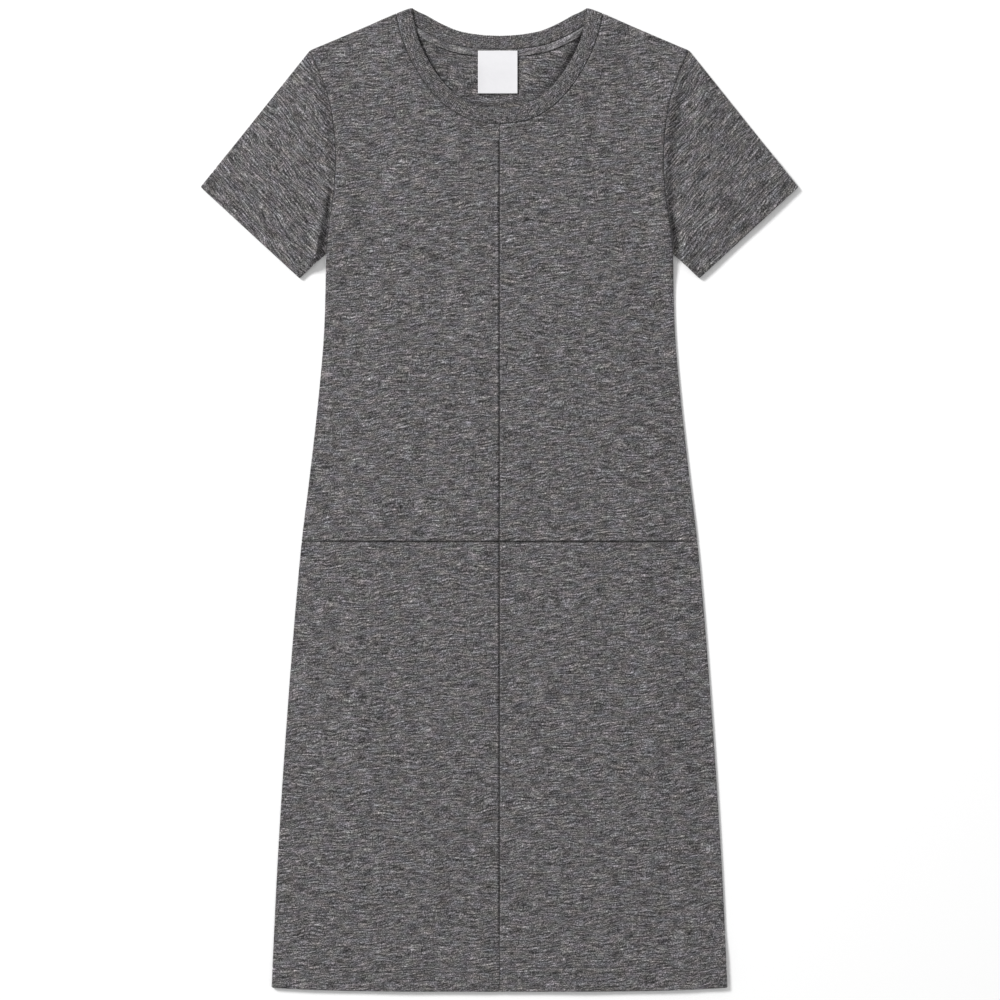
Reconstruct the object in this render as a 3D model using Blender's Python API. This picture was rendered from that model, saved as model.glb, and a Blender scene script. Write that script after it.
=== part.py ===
"""A short-sleeved, crew-neck T-shirt dress in marl jersey, laid flat on its back.

X runs across the dress, with the wearer's left at +X. Y runs from the hem to the neck, and Z up from
the surface that the dress lies on. The origin is on that surface, in the middle of the outline.

The pieces are those that are cut and sewn: four front and four back panels, which meet at a centre
seam, a waist seam, the side seams and the shoulder seams, two sleeves, a doubled rib neckband, a
tape over the back neck seam and a label. Each is a wall of cloth, one solid, 0.3 mm from its neighbours.

How the layers lie. The dress is a flattened tube of height H, which changes from place to place. At
depth e inside its outer skin, a point of the front is at z = H - e and a point of the back at z = e.
Round a side, a shoulder or a sleeve's fold, both follow a half circle of radius H / 2 - e. A hem is
turned up inside: the wall runs round a small fold and back again at a greater depth.
"""

from collections import namedtuple
from math import cos, hypot, radians

import bpy
import numpy as np

MM = 0.001

# The cloth, and how closely its layers lie
CLOTH = 1.0 * MM
SEAM_GAP = 0.3 * MM
CURVED_SEAM_GAP = 1.2 * SEAM_GAP
LAYER_GAP = 0.6 * MM
FLAT_HEIGHT = 2 * CLOTH + LAYER_GAP

# Body: places are for the wearer's left half, and the other half mirrors it
HALF_LENGTH = 500.4 * MM
HEM_SIDE_Y = -496.3 * MM
WAIST_Y = -42.7 * MM
UNDERARM = (176.4 * MM, 249.7 * MM)
SHOULDER_TIP = (192.6 * MM, 457.0 * MM)
SHOULDER_NECK = (105.4 * MM, 494.3 * MM)
NECK_PEAK = (89.5 * MM, HALF_LENGTH)
SIDE_ENDS = (UNDERARM[1] - 5.0 * MM, UNDERARM[1] - 1.0 * MM)

# Sleeves: the cuff's two corners
CUFF_TOP = (304.1 * MM, 317.8 * MM)
CUFF_UNDERARM = (203.2 * MM, 224.8 * MM)

# Hems are turned up once
HEM_DEPTH = 24.0 * MM
HEM_FOLD = (2 * CLOTH + SEAM_GAP) / 2
HEM_HEIGHT = 4 * CLOTH + 2 * SEAM_GAP + LAYER_GAP
HEM_CLEAR = 1.0 * MM
HEM_FADE = 38.0 * MM

# How far the front stands off the back
LOFT = 1.0 * MM
LOFT_FROM_SIDE = (14.0 * MM, 90.0 * MM)
LOFT_FROM_SHOULDER = (4.0 * MM, 75.0 * MM)
LOFT_FROM_HEM = (0.0, 110.0 * MM)
SIDE_ROLL = 0.7 * MM
SIDE_ROLL_AT = 8.0 * MM
SIDE_ROLL_WIDTH = 5.5 * MM
UNDERARM_RISE = 0.9 * MM
UNDERARM_RISE_WIDTH = 26.0 * MM
SLEEVE_LOFT = 1.2 * MM
SLEEVE_LOFT_EDGE = 38.0 * MM
SLEEVE_LOFT_FROM_SEAM = (-12.0 * MM, 26.0 * MM)
SLEEVE_LOFT_FROM_CUFF = (-8.0 * MM, 70.0 * MM)

# Neckband, tape and label
BAND_WALL = 2.0 * MM
BAND_WIDTHS_FRONT = (15.6 * MM, 16.4 * MM)
BAND_WIDTHS_BACK = (14.0 * MM, 16.8 * MM)
BAND_WIDENS_BY = 0.6
BAND_TURNS_FROM = 0.72
BAND_TOP_SHOULDER = 4.8 * MM
BAND_TOP_CENTRE = 3.9 * MM
BAND_RISES = (400.0 * MM, 440.0 * MM)
BAND_PROUD = 0.5 * MM
NECK_PULL = 34.0 * MM
TAPE_WIDTH = 8.7 * MM
TAPE_REACH = 91.0 * MM
TRIM_WALL = 1.0 * MM
LABEL_WIDTH = 40.2 * MM
LABEL_LENGTH = 43.7 * MM
LABEL_OFF_CENTRE = -1.8 * MM
LABEL_TOP_Y = 456.5 * MM
LABEL_SLOPE = 7.0 * MM

# Each row is a height up the dress and the half width there
Station = namedtuple("Station", "y half_width")
SIDE_SEAM = (
    Station(HEM_SIDE_Y, 231.9 * MM),
    Station(-407.8 * MM, 228.0 * MM),
    Station(-306.1 * MM, 222.2 * MM),
    Station(-204.4 * MM, 215.1 * MM),
    Station(-102.7 * MM, 207.0 * MM),
    Station(WAIST_Y, 201.4 * MM),
    Station(24.4 * MM, 193.2 * MM),
    Station(100.7 * MM, 184.6 * MM),
    Station(165.0 * MM, 179.0 * MM),
    Station(UNDERARM[1], UNDERARM[0]),
)
ARMHOLE_FRONT = (
    Station(UNDERARM[1], UNDERARM[0]),
    Station(277.6 * MM, 173.4 * MM),
    Station(314.3 * MM, 168.3 * MM),
    Station(342.7 * MM, 166.6 * MM),
    Station(379.4 * MM, 168.6 * MM),
    Station(405.8 * MM, 173.1 * MM),
    Station(431.2 * MM, 181.6 * MM),
    Station(SHOULDER_TIP[1], SHOULDER_TIP[0]),
)
ARMHOLE_BACK = (
    Station(UNDERARM[1], UNDERARM[0]),
    Station(277.6 * MM, 175.0 * MM),
    Station(342.7 * MM, 172.6 * MM),
    Station(405.8 * MM, 178.2 * MM),
    Station(SHOULDER_TIP[1], SHOULDER_TIP[0]),
)

# Each row is a place on the seam between a panel and the neckband, from the centre to the shoulder
SeamPoint = namedtuple("SeamPoint", "x y")
NECK_SEAM_FRONT = (
    SeamPoint(0.0, 381.3 * MM),
    SeamPoint(27.9 * MM, 385.2 * MM),
    SeamPoint(49.8 * MM, 396.1 * MM),
    SeamPoint(70.9 * MM, 416.4 * MM),
    SeamPoint(84.8 * MM, 437.1 * MM),
    SeamPoint(95.4 * MM, 458.6 * MM),
    SeamPoint(102.1 * MM, 478.8 * MM),
    SeamPoint(*SHOULDER_NECK),
)
NECK_SEAM_BACK = (
    SeamPoint(0.0, 457.8 * MM),
    SeamPoint(23.7 * MM, 458.4 * MM),
    SeamPoint(48.8 * MM, 461.9 * MM),
    SeamPoint(65.8 * MM, 468.7 * MM),
    SeamPoint(86.0 * MM, 480.5 * MM),
    SeamPoint(*SHOULDER_NECK),
)

# Each row is a soft trough in a sleeve: how far it lies from the armhole seam, its half width, how much
# of the loft it takes away, and where it starts and ends, as shares of the way from shoulder to underarm
Crease = namedtuple("Crease", "from_seam half_width share start end")
UNDERARM_TUCK = Crease(4.0 * MM, 7.0 * MM, 0.95, 0.70, 1.05)
CREASES_LEFT = (
    UNDERARM_TUCK,
    Crease(9.0 * MM, 5.0 * MM, 0.55, 0.03, 0.20),
    Crease(24.0 * MM, 7.0 * MM, 0.25, 0.10, 0.34),
)
CREASES_RIGHT = (
    UNDERARM_TUCK,
    Crease(11.0 * MM, 6.0 * MM, 0.60, 0.03, 0.34),
    Crease(30.0 * MM, 8.0 * MM, 0.22, 0.16, 0.40),
)

# How finely the walls are divided
EDGE_ANGLES = np.radians([90.0, 58.0, 28.0, 0.0])
EDGE_COLUMNS = (22.0 * MM, 13.0 * MM, 7.0 * MM)
EDGE_BAND = EDGE_COLUMNS[0]
NECK_SHARES_FRONT = np.array([0.0, 0.1, 0.2, 0.3, 0.4, 0.49, 0.58, 0.67, 0.76, 0.85, 0.93, 1.0])
NECK_SHARES_BACK = np.array([0.0, 0.16, 0.31, 0.46, 0.6, 0.74, 0.88, 1.0])
SHOULDER_COLUMNS = 2
SKIRT_SHARES = np.array([0.0, 0.16, 0.32, 0.48, 0.64, 0.8])
LOWER_BODICE_SHARES = np.array([0.0, 0.22, 0.44, 0.66, 0.85, 0.98, 1.0])
SKIRT_ROW_SHARES = np.array([0.0, 0.18, 0.36, 0.54, 0.72, 0.87, 0.93])
FOLD_ANGLES = np.radians([45.0, 90.0, 135.0])
ARMHOLE_SHARES = np.array([0.05, 0.15, 0.3, 0.48, 0.66, 0.8, 0.92])
SLEEVE_ALONG = np.array([0.0, 0.06, 0.12, 0.2, 0.33, 0.52, 0.74, 1.0])
TAPE_HALF_STEPS = 12
LABEL_SHARES = np.array([0.0, 0.17, 0.22, 0.27, 0.33, 0.55, 0.78, 1.0])
CURVE_SHARES = np.linspace(0.0, 1.0, 41)
CURVE_STEP = 0.01

Cloth = namedtuple("Cloth", "colour roughness")
JERSEY = Cloth((0.130, 0.124, 0.127), 0.95)
JERSEY_INSIDE = Cloth((0.115, 0.109, 0.112), 0.95)
RIB = Cloth((0.112, 0.107, 0.110), 0.95)
SATIN = Cloth((0.86, 0.855, 0.88), 0.6)


def ease(value, start, end):
    """Zero up to start, one from end, and an S curve between them."""
    share = np.clip((value - start) / (end - start), 0.0, 1.0)
    return share * share * (3.0 - 2.0 * share)


def bump(value, centre, half_width):
    """A bell curve, one at its centre."""
    return np.exp(-(((value - centre) / half_width) ** 2))


def smooth(at, knots, values):
    """A cubic curve through values at rising knots, read at the places in at, held level outside them."""
    knots = np.asarray(knots, float)
    values = np.asarray(values, float)
    slopes = np.gradient(values, knots)
    at = np.clip(at, knots[0], knots[-1])
    left = np.clip(np.searchsorted(knots, at) - 1, 0, len(knots) - 2)
    step = knots[left + 1] - knots[left]
    s = (at - knots[left]) / step
    rise = values[left + 1] - values[left]
    start, end = slopes[left] * step, slopes[left + 1] * step
    return values[left] + s * start + s**2 * (3 * rise - 2 * start - end) + s**3 * (start + end - 2 * rise)


def plan_curve(points, shares):
    """Places along a smooth plan curve through points, at shares of its chord length, as rows of x, y."""
    points = np.array([tuple(p) for p in points])
    steps = np.hypot(*np.diff(points, axis=0).T)
    knots = np.concatenate([[0.0], np.cumsum(steps)])
    at = np.asarray(shares, float) * knots[-1]
    return np.stack([smooth(at, knots, points[:, 0]), smooth(at, knots, points[:, 1])], axis=-1)


def half_width(y, armhole):
    """The outline's half width at height y: the side seam, then the armhole, then straight up."""
    seam = smooth(y, [s.y for s in SIDE_SEAM], [s.half_width for s in SIDE_SEAM])
    hole = smooth(y, [s.y for s in armhole], [s.half_width for s in armhole])
    return np.where(y < UNDERARM[1], seam, hole)


def shoulder_y(x):
    """The shoulder seam's height at x."""
    run = SHOULDER_TIP[0] - SHOULDER_NECK[0]
    fall = SHOULDER_NECK[1] - SHOULDER_TIP[1]
    return SHOULDER_NECK[1] - fall * (x - SHOULDER_NECK[0]) / run


def hem_y(x):
    """The hem's height at x: it drops a little from the side seams, and is nearly level between."""
    drop = HALF_LENGTH + HEM_SIDE_Y
    return HEM_SIDE_Y - drop * (1.0 - (x / SIDE_SEAM[0].half_width) ** 4)


def band_top(y):
    """The height of the front neckband's upper face: it climbs over the back neck at the shoulders."""
    return BAND_TOP_CENTRE + (BAND_TOP_SHOULDER - BAND_TOP_CENTRE) * ease(y, *BAND_RISES)


SLOPE = hypot(SHOULDER_TIP[0] - SHOULDER_NECK[0], SHOULDER_NECK[1] - SHOULDER_TIP[1])
SHOULDER_COSINE = (SHOULDER_TIP[0] - SHOULDER_NECK[0]) / SLOPE
NECKLINE = plan_curve(NECK_SEAM_FRONT, CURVE_SHARES)


def body_height(x, y):
    """H over the body: flat at the sides, lofted between, raised at hem, neck and underarm."""
    from_side = half_width(y, ARMHOLE_FRONT) - x
    from_shoulder = (shoulder_y(x) - y) * SHOULDER_COSINE
    from_neck = np.min(np.hypot(x[..., None] - NECKLINE[:, 0], y[..., None] - NECKLINE[:, 1]), axis=-1)
    from_hem = y - hem_y(x)
    loft = LOFT * ease(from_side, *LOFT_FROM_SIDE) * ease(from_shoulder, *LOFT_FROM_SHOULDER)
    height = FLAT_HEIGHT + loft * ease(from_hem, *LOFT_FROM_HEM)
    height = height + SIDE_ROLL * bump(from_side, SIDE_ROLL_AT, SIDE_ROLL_WIDTH) * (y < UNDERARM[1])
    from_underarm = np.hypot(x - UNDERARM[0], y - UNDERARM[1])
    height = height + UNDERARM_RISE * bump(from_underarm, 0.0, UNDERARM_RISE_WIDTH)
    pull = 1.0 - ease(from_neck, 0.0, NECK_PULL)
    height = height + (band_top(y) - BAND_PROUD - height) * pull
    in_hem = 1.0 - ease(from_hem, HEM_DEPTH, HEM_DEPTH + HEM_FADE)
    return height + (HEM_HEIGHT - FLAT_HEIGHT) * in_hem


def edge_inset(depth, height, angle):
    """How far in from the outline a skin at this depth lies, at an angle of its half circle."""
    return depth + (height / 2 - depth) * (1.0 - np.cos(angle))


def layer_z(depth, height, round_share, front):
    """A panel's height: its full way up or down where round_share is 1, near the middle where it is 0."""
    reach = SEAM_GAP / 2 + (height / 2 - SEAM_GAP / 2 - depth) * round_share
    return height / 2 + reach if front else height / 2 - reach


class Panel:
    """One of the eight body panels, for the wearer's left half. Columns run up it, from the centre seam
    to the side: some at shares of the width, some at set distances from the side, some round the edge."""

    def __init__(self, front, shares):
        self.front = front
        self.armhole = ARMHOLE_FRONT if front else ARMHOLE_BACK
        self.shares = shares
        self.count = len(shares) + len(EDGE_COLUMNS) + len(EDGE_ANGLES)

    def columns_x(self, y, depth):
        """The columns' x at heights y, one for each column, and how far each is round the side."""
        side = half_width(y, self.armhole)
        field = len(self.shares)
        flat = field + len(EDGE_COLUMNS)
        x = np.empty(self.count)
        x[:field] = SEAM_GAP / 2 + self.shares * (side[:field] - EDGE_BAND - SEAM_GAP / 2)
        x[field:flat] = side[field:flat] - np.array(EDGE_COLUMNS)
        sewn = 1.0 - ease(y[flat:], *SIDE_ENDS)
        rim = side[flat:]
        height = body_height(rim, y[flat:])
        x[flat:] = rim - edge_inset(sewn * depth, height, EDGE_ANGLES)
        share = np.ones(self.count)
        share[flat:] = 1.0 - sewn * (1.0 - np.sin(EDGE_ANGLES))
        return x, share

    def row(self, y, depth, top_share=1.0):
        """A row of points at heights y and this depth. top_share is under 1 round the shoulder."""
        x, share = self.columns_x(y, depth)
        z = layer_z(depth, body_height(x, y), share * top_share, self.front)
        return np.stack([x, y, z], axis=-1)


def bodice_tops(front):
    """The bodice's columns: their shares of the width and the heights of their upper ends, and whether
    each ends on the shoulder seam."""
    armhole = ARMHOLE_FRONT if front else ARMHOLE_BACK
    if front:
        neck = plan_curve(NECK_SEAM_FRONT, NECK_SHARES_FRONT)
    else:
        neck = plan_curve(NECK_SEAM_BACK, NECK_SHARES_BACK)
    field = SHOULDER_TIP[0] - EDGE_BAND
    shoulder_x = np.linspace(SHOULDER_NECK[0], field, SHOULDER_COLUMNS + 1, endpoint=False)[1:]
    field_x = np.concatenate([neck[:, 0], shoulder_x])
    field_y = np.concatenate([neck[:, 1], shoulder_y(shoulder_x)])
    widths = half_width(field_y, armhole) - EDGE_BAND - SEAM_GAP / 2
    shares = np.clip((field_x - SEAM_GAP / 2) / widths, 0.0, 1.0)
    insets = np.concatenate([EDGE_COLUMNS, FLAT_HEIGHT / 2 * (1.0 - np.cos(EDGE_ANGLES))])
    tops = np.concatenate([field_y, shoulder_y(SHOULDER_TIP[0] - insets)])
    on_shoulder = np.arange(len(tops)) >= len(neck) - 1
    return shares, tops, on_shoulder.astype(float)


def bodice_skin(front, depth):
    """One skin of a bodice panel: level rows up to the underarm, then rows that fan up to the neckline
    and the shoulder, where the last few go round the edge."""
    shares, tops, on_shoulder = bodice_tops(front)
    panel = Panel(front, shares)
    ones = np.ones(panel.count)
    low = WAIST_Y + SEAM_GAP / 2
    rows = [panel.row((low + s * (UNDERARM[1] - low)) * ones, depth) for s in LOWER_BODICE_SHARES]
    height = body_height(np.linspace(0.0, SHOULDER_TIP[0], panel.count), tops)
    first = tops - edge_inset(on_shoulder * depth, height, EDGE_ANGLES[0]) / SHOULDER_COSINE
    for share in 1.0 - ARMHOLE_SHARES[::-1]:
        rows.append(panel.row(UNDERARM[1] + share * (first - UNDERARM[1]), depth))
    for angle in EDGE_ANGLES:
        inset = edge_inset(on_shoulder * depth, height, angle) / SHOULDER_COSINE
        top_share = 1.0 - on_shoulder * (1.0 - np.sin(angle))
        rows.append(panel.row(tops - inset, depth, top_share))
    return np.array(rows)


def skirt_skin(front, depth):
    """One skin of a skirt panel: down to the hem, round its fold, and up again inside."""
    panel = Panel(front, SKIRT_SHARES)
    radius = HEM_FOLD - depth
    ones = np.ones(panel.count)
    hem = hem_y(panel.columns_x(HEM_SIDE_Y * ones, 0.0)[0])
    top = WAIST_Y - SEAM_GAP / 2
    bottom = hem + HEM_FOLD
    rows = [panel.row(top + s * (bottom - top), depth) for s in SKIRT_ROW_SHARES]
    rows.append(panel.row(hem + HEM_DEPTH + HEM_CLEAR, depth))
    rows.append(panel.row(bottom, depth))
    for angle in FOLD_ANGLES:
        rows.append(panel.row(bottom - radius * np.sin(angle), HEM_FOLD - radius * cos(angle)))
    inner = HEM_FOLD + radius
    rows.append(panel.row(bottom, inner))
    rows.append(panel.row(hem + HEM_DEPTH, inner))
    return np.array(rows)


def armhole_curve(front, shares):
    """Places on the armhole at shares of the way down from the shoulder to the underarm, a little more
    than a seam's gap outside the panel."""
    y = SHOULDER_TIP[1] + np.asarray(shares) * (UNDERARM[1] - SHOULDER_TIP[1])
    x = half_width(y, ARMHOLE_FRONT if front else ARMHOLE_BACK)
    return np.stack([x + CURVED_SEAM_GAP, y], axis=-1)


def sleeve_height(across, from_seam, from_cuff, width, creases):
    """H over a sleeve: a soft pillow with troughs in it, raised where the cuff is turned up."""
    inside = ease(np.minimum(across, 1.0 - across) * width, 0.0, SLEEVE_LOFT_EDGE)
    loft = SLEEVE_LOFT * inside * ease(from_seam, *SLEEVE_LOFT_FROM_SEAM)
    loft = loft * ease(from_cuff, *SLEEVE_LOFT_FROM_CUFF)
    for crease in creases:
        middle = (crease.start + crease.end) / 2
        reach = (crease.end - crease.start) / 2
        along = bump(across, middle, reach)
        loft = loft * (1.0 - crease.share * along * bump(from_seam, crease.from_seam, crease.half_width))
    in_hem = 1.0 - ease(from_cuff, HEM_DEPTH, HEM_DEPTH + HEM_FADE)
    flat = FLAT_HEIGHT + (HEM_HEIGHT - FLAT_HEIGHT) * in_hem
    return flat + loft


def sleeve_track(front, across, place):
    """Where a line along the sleeve is, at a place on it: a share of the way from the armhole to the
    turned-up hem up to 1, or a distance from the cuff's edge where place is a pair. Gives the plan
    point and its distances from the armhole and from the cuff."""
    start = armhole_curve(front, across)
    end = np.array(CUFF_TOP) + across[:, None] * (np.array(CUFF_UNDERARM) - np.array(CUFF_TOP))
    length = np.hypot(*(end - start).T)
    kind, value = place
    from_cuff = value * np.ones_like(length)
    if kind == "share":
        from_cuff = length - value * (length - HEM_DEPTH - HEM_CLEAR)
    point = end + (start - end) * (from_cuff / length)[:, None]
    return point, length - from_cuff, from_cuff


def sleeve_ring(place, depth, creases):
    """A closed ring round a sleeve at one place and depth: down the front from the top fold, round the
    underarm seam, back over the back layer, and round the top fold."""
    ends = np.array([0.0, 1.0])
    rim, seam_run, cuff_run = sleeve_track(True, ends, place)
    width = hypot(*(rim[1] - rim[0]))
    rim_height = sleeve_height(ends, seam_run, cuff_run, width, creases)
    front, front_seam, front_cuff = sleeve_track(True, ARMHOLE_SHARES, place)
    back, _, _ = sleeve_track(False, ARMHOLE_SHARES, place)
    front_height = sleeve_height(ARMHOLE_SHARES, front_seam, front_cuff, width, creases)
    front_layer = np.column_stack([front, front_height - depth])
    back_layer = np.column_stack([back[::-1], np.full(len(back), depth)])

    def fold(end, front_near, back_near, angles):
        """Points round one edge of the sleeve, from angle to angle."""
        points = []
        for angle in angles:
            near = front_near if angle > 0 else back_near if angle < 0 else (front_near + back_near) / 2
            inward = (near - rim[end]) / hypot(*(near - rim[end]))
            inset = edge_inset(depth, rim_height[end], angle)
            z = rim_height[end] / 2 + (rim_height[end] / 2 - depth) * np.sin(angle)
            points.append([*(rim[end] + inward * inset), z])
        return np.array(points)

    round_edge = np.concatenate([EDGE_ANGLES, -EDGE_ANGLES[-2::-1]])
    underarm = fold(1, front[-1], back[-1], round_edge)
    top = fold(0, front[0], back[0], -round_edge)
    return np.concatenate([front_layer, underarm, back_layer, top])


def sleeve_skin(depth, creases):
    """One skin of a sleeve: rings from the armhole to the cuff, round its fold, and up again inside."""
    radius = HEM_FOLD - depth
    rings = [sleeve_ring(("share", share), depth, creases) for share in SLEEVE_ALONG]
    rings.append(sleeve_ring(("distance", HEM_DEPTH / 2), depth, creases))
    rings.append(sleeve_ring(("distance", HEM_FOLD), depth, creases))
    for angle in FOLD_ANGLES:
        run = HEM_FOLD - radius * np.sin(angle)
        rings.append(sleeve_ring(("distance", run), HEM_FOLD - radius * cos(angle), creases))
    inner = HEM_FOLD + radius
    rings.append(sleeve_ring(("distance", HEM_FOLD), inner, creases))
    rings.append(sleeve_ring(("distance", HEM_DEPTH / 2), inner, creases))
    rings.append(sleeve_ring(("distance", HEM_DEPTH), inner, creases))
    return np.array(rings)


def band_edges(seam, widths, shares):
    """The neckband's outer and inner edge at shares of the way from the centre to the shoulder. The
    inner edge lies a band's width in from the seam, and ends at the neck's peak. widths are the band's
    width at the centre and beside the shoulder."""
    outer = plan_curve(seam, shares)
    ahead = plan_curve(seam, np.clip(shares + CURVE_STEP, 0.0, 1.0))
    behind = plan_curve(seam, np.clip(shares - CURVE_STEP, 0.0, 1.0))
    along = ahead - behind
    along[shares <= 0.0] = (1.0, 0.0)
    along = along / np.hypot(*along.T)[:, None]
    inward = np.stack([-along[:, 1], along[:, 0]], axis=-1)
    to_peak = np.array(NECK_PEAK) - np.array(SHOULDER_NECK)
    width = widths[0] + (widths[1] - widths[0]) * ease(shares, 0.0, BAND_WIDENS_BY)[:, None]
    turn = ease(shares, BAND_TURNS_FROM, 1.0)[:, None]
    inner = outer + inward * width * (1.0 - turn) + to_peak * turn
    return outer + inward * CURVED_SEAM_GAP, inner


def band_section():
    """The doubled rib's cross-section, as rows of share across and depth: square at the seam, round at
    the fold of its inner edge."""
    radius = BAND_WALL / 2
    flat = 1.0 - radius / BAND_WIDTHS_FRONT[0]
    rows = [(0.0, 0.0), (0.5, 0.0)]
    for angle in np.radians([90.0, 45.0, 0.0, -45.0, -90.0]):
        rows.append((flat + (1.0 - flat) * cos(angle), radius * (1.0 - np.sin(angle))))
    rows += [(0.5, BAND_WALL), (0.0, BAND_WALL)]
    return np.array(rows)


def band_rings(seam, widths, shares, front):
    """Sections of the neckband from the centre to the shoulder fold, one row for each: level sections at
    shares of the way, where the panel's columns end too, then a quarter turn round the fold."""
    section = band_section()
    length = np.hypot(*np.diff(plan_curve(seam, CURVE_SHARES), axis=0).T).sum()
    height = BAND_TOP_SHOULDER
    last = 1.0 - (height / 2) / length
    rings = []
    for share in [*shares[:-1], last]:
        outer, inner = band_edges(seam, widths, np.array([share]))
        plan = outer + section[:, :1] * (inner - outer)
        top = band_top(plan[:, 1])
        rings.append(np.column_stack([plan, top - section[:, 1] if front else section[:, 1]]))
    for angle in EDGE_ANGLES[1:]:
        inset = edge_inset(section[:, 1], height, angle)
        outer, inner = band_edges(seam, widths, 1.0 - inset / length)
        plan = outer + section[:, :1] * (inner - outer)
        reach = (height / 2 - section[:, 1]) * np.sin(angle)
        rings.append(np.column_stack([plan, height / 2 + (reach if front else -reach)]))
    return rings


def neckband_grid():
    """The whole neckband: the front from the centre to the left shoulder, the back from there to the
    centre, and both mirrored for the right half."""
    front = band_rings(NECK_SEAM_FRONT, BAND_WIDTHS_FRONT, NECK_SHARES_FRONT, True)
    back = band_rings(NECK_SEAM_BACK, BAND_WIDTHS_BACK, NECK_SHARES_BACK, False)
    left = front + back[-2::-1]
    mirror = np.array([-1.0, 1.0, 1.0])
    right = [ring * mirror for ring in left[-2:0:-1]]
    return np.array(left + right)


def tape_skins():
    """The tape's upper and lower skin: a strip below the back neck seam, on the back panels."""
    seam = plan_curve(NECK_SEAM_BACK, CURVE_SHARES)
    reach = np.interp(TAPE_REACH, seam[:, 0], CURVE_SHARES)
    places = np.linspace(0.0, reach, TAPE_HALF_STEPS + 1)
    outer, inner = band_edges(NECK_SEAM_BACK, BAND_WIDTHS_BACK, places)
    outward = (outer - inner) / np.hypot(*(outer - inner).T)[:, None]
    near = outer + outward * 2 * SEAM_GAP
    far = near + outward * TAPE_WIDTH
    half = np.stack([near, far], axis=1)
    whole = np.concatenate([(half * np.array([-1.0, 1.0]))[:0:-1], half])
    low = CLOTH + SEAM_GAP
    lower = np.concatenate([whole, np.full(whole.shape[:2] + (1,), low)], axis=-1)
    upper = np.concatenate([whole, np.full(whole.shape[:2] + (1,), low + TRIM_WALL)], axis=-1)
    return upper, lower


def label_skins():
    """The label's upper and lower skin: it lies over the tape, then slopes down to the back panels."""
    on_tape = CLOTH + TRIM_WALL + 2 * SEAM_GAP
    on_back = CLOTH + SEAM_GAP
    below = NECK_SEAM_BACK[0].y - LABEL_TOP_Y
    tape_ends = TAPE_WIDTH + 3 * SEAM_GAP - below
    down = LABEL_SHARES * LABEL_LENGTH
    low = on_tape + (on_back - on_tape) * ease(down, tape_ends, tape_ends + LABEL_SLOPE)
    across = LABEL_OFF_CENTRE + LABEL_WIDTH * np.array([-0.5, 0.0, 0.5])
    lower = np.empty((len(down), len(across), 3))
    lower[..., 0] = across
    lower[..., 1] = LABEL_TOP_Y - down[:, None]
    lower[..., 2] = low[:, None]
    upper = lower + np.array([0.0, 0.0, TRIM_WALL])
    return upper, lower


def grid_faces(rows, columns, first, wrap_rows=False, wrap_columns=False):
    """Quads over a grid of points that is numbered row by row from first."""
    faces = []
    for r in range(rows if wrap_rows else rows - 1):
        for c in range(columns if wrap_columns else columns - 1):
            r2, c2 = (r + 1) % rows, (c + 1) % columns
            faces.append([first + a * columns + b for a, b in ((r, c), (r, c2), (r2, c2), (r2, c))])
    return faces


def wall_faces(rows, columns, closed):
    """Faces of a wall between an outer grid and an inner grid of the same size, with its rims. A
    closed wall's columns run all the way round."""
    count = rows * columns
    outer = grid_faces(rows, columns, 0, wrap_columns=closed)
    inner = [face[::-1] for face in grid_faces(rows, columns, count, wrap_columns=closed)]
    border = []
    for c in range(columns if closed else columns - 1):
        c2 = (c + 1) % columns
        border.append((c2, c))
        border.append(((rows - 1) * columns + c, (rows - 1) * columns + c2))
    if not closed:
        for r in range(rows - 1):
            border.append((r * columns, (r + 1) * columns))
            border.append(((r + 1) * columns + columns - 1, r * columns + columns - 1))
    rims = [[b, a, a + count, b + count] for a, b in border]
    return outer + inner + [face[::-1] for face in rims]


def make_material(name, cloth):
    """A plain cloth material."""
    material = bpy.data.materials.new(name)
    material.use_nodes = True
    shader = material.node_tree.nodes["Principled BSDF"]
    shader.inputs["Base Color"].default_value = (*cloth.colour, 1.0)
    shader.inputs["Roughness"].default_value = cloth.roughness
    shader.inputs["Metallic"].default_value = 0.0
    material.diffuse_color = (*cloth.colour, 1.0)
    return material


def signed_volume(points, faces):
    """Six times the volume that the faces enclose, negative where they point inwards."""
    total = 0.0
    for face in faces:
        for k in range(1, len(face) - 1):
            a, b, c = points[face[0]], points[face[k]], points[face[k + 1]]
            total += float(np.dot(a, np.cross(b, c)))
    return total


def add_piece(name, points, faces, cloth):
    """One sub-part from its points and faces, which are turned round if they point inwards."""
    points = points.reshape(-1, 3)
    if signed_volume(points, faces) < 0.0:
        faces = [face[::-1] for face in faces]
    mesh = bpy.data.meshes.new(name)
    mesh.from_pydata(points.tolist(), [], faces)
    mesh.validate()
    mesh.shade_smooth()
    mesh.set_sharp_from_angle(angle=radians(50))
    mesh.materials.append(make_material(name, cloth))
    bpy.context.scene.collection.objects.link(bpy.data.objects.new(name, mesh))


def add_wall(name, outer, inner, cloth, closed=False):
    """A wall of cloth between two skins."""
    rows, columns = outer.shape[:2]
    add_piece(name, np.stack([outer, inner]), wall_faces(rows, columns, closed), cloth)


def build_body():
    """The eight body panels: the left half's, and each mirrored."""
    for side, mirror in (("left", 1.0), ("right", -1.0)):
        flip = np.array([mirror, 1.0, 1.0])
        for face, front in (("front", True), ("back", False)):
            for part, skin in (("bodice", bodice_skin), ("skirt", skirt_skin)):
                outer = skin(front, 0.0) * flip
                inner = skin(front, CLOTH) * flip
                add_wall(f"{face}_{part}_{side}", outer, inner, JERSEY if front else JERSEY_INSIDE)


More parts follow.
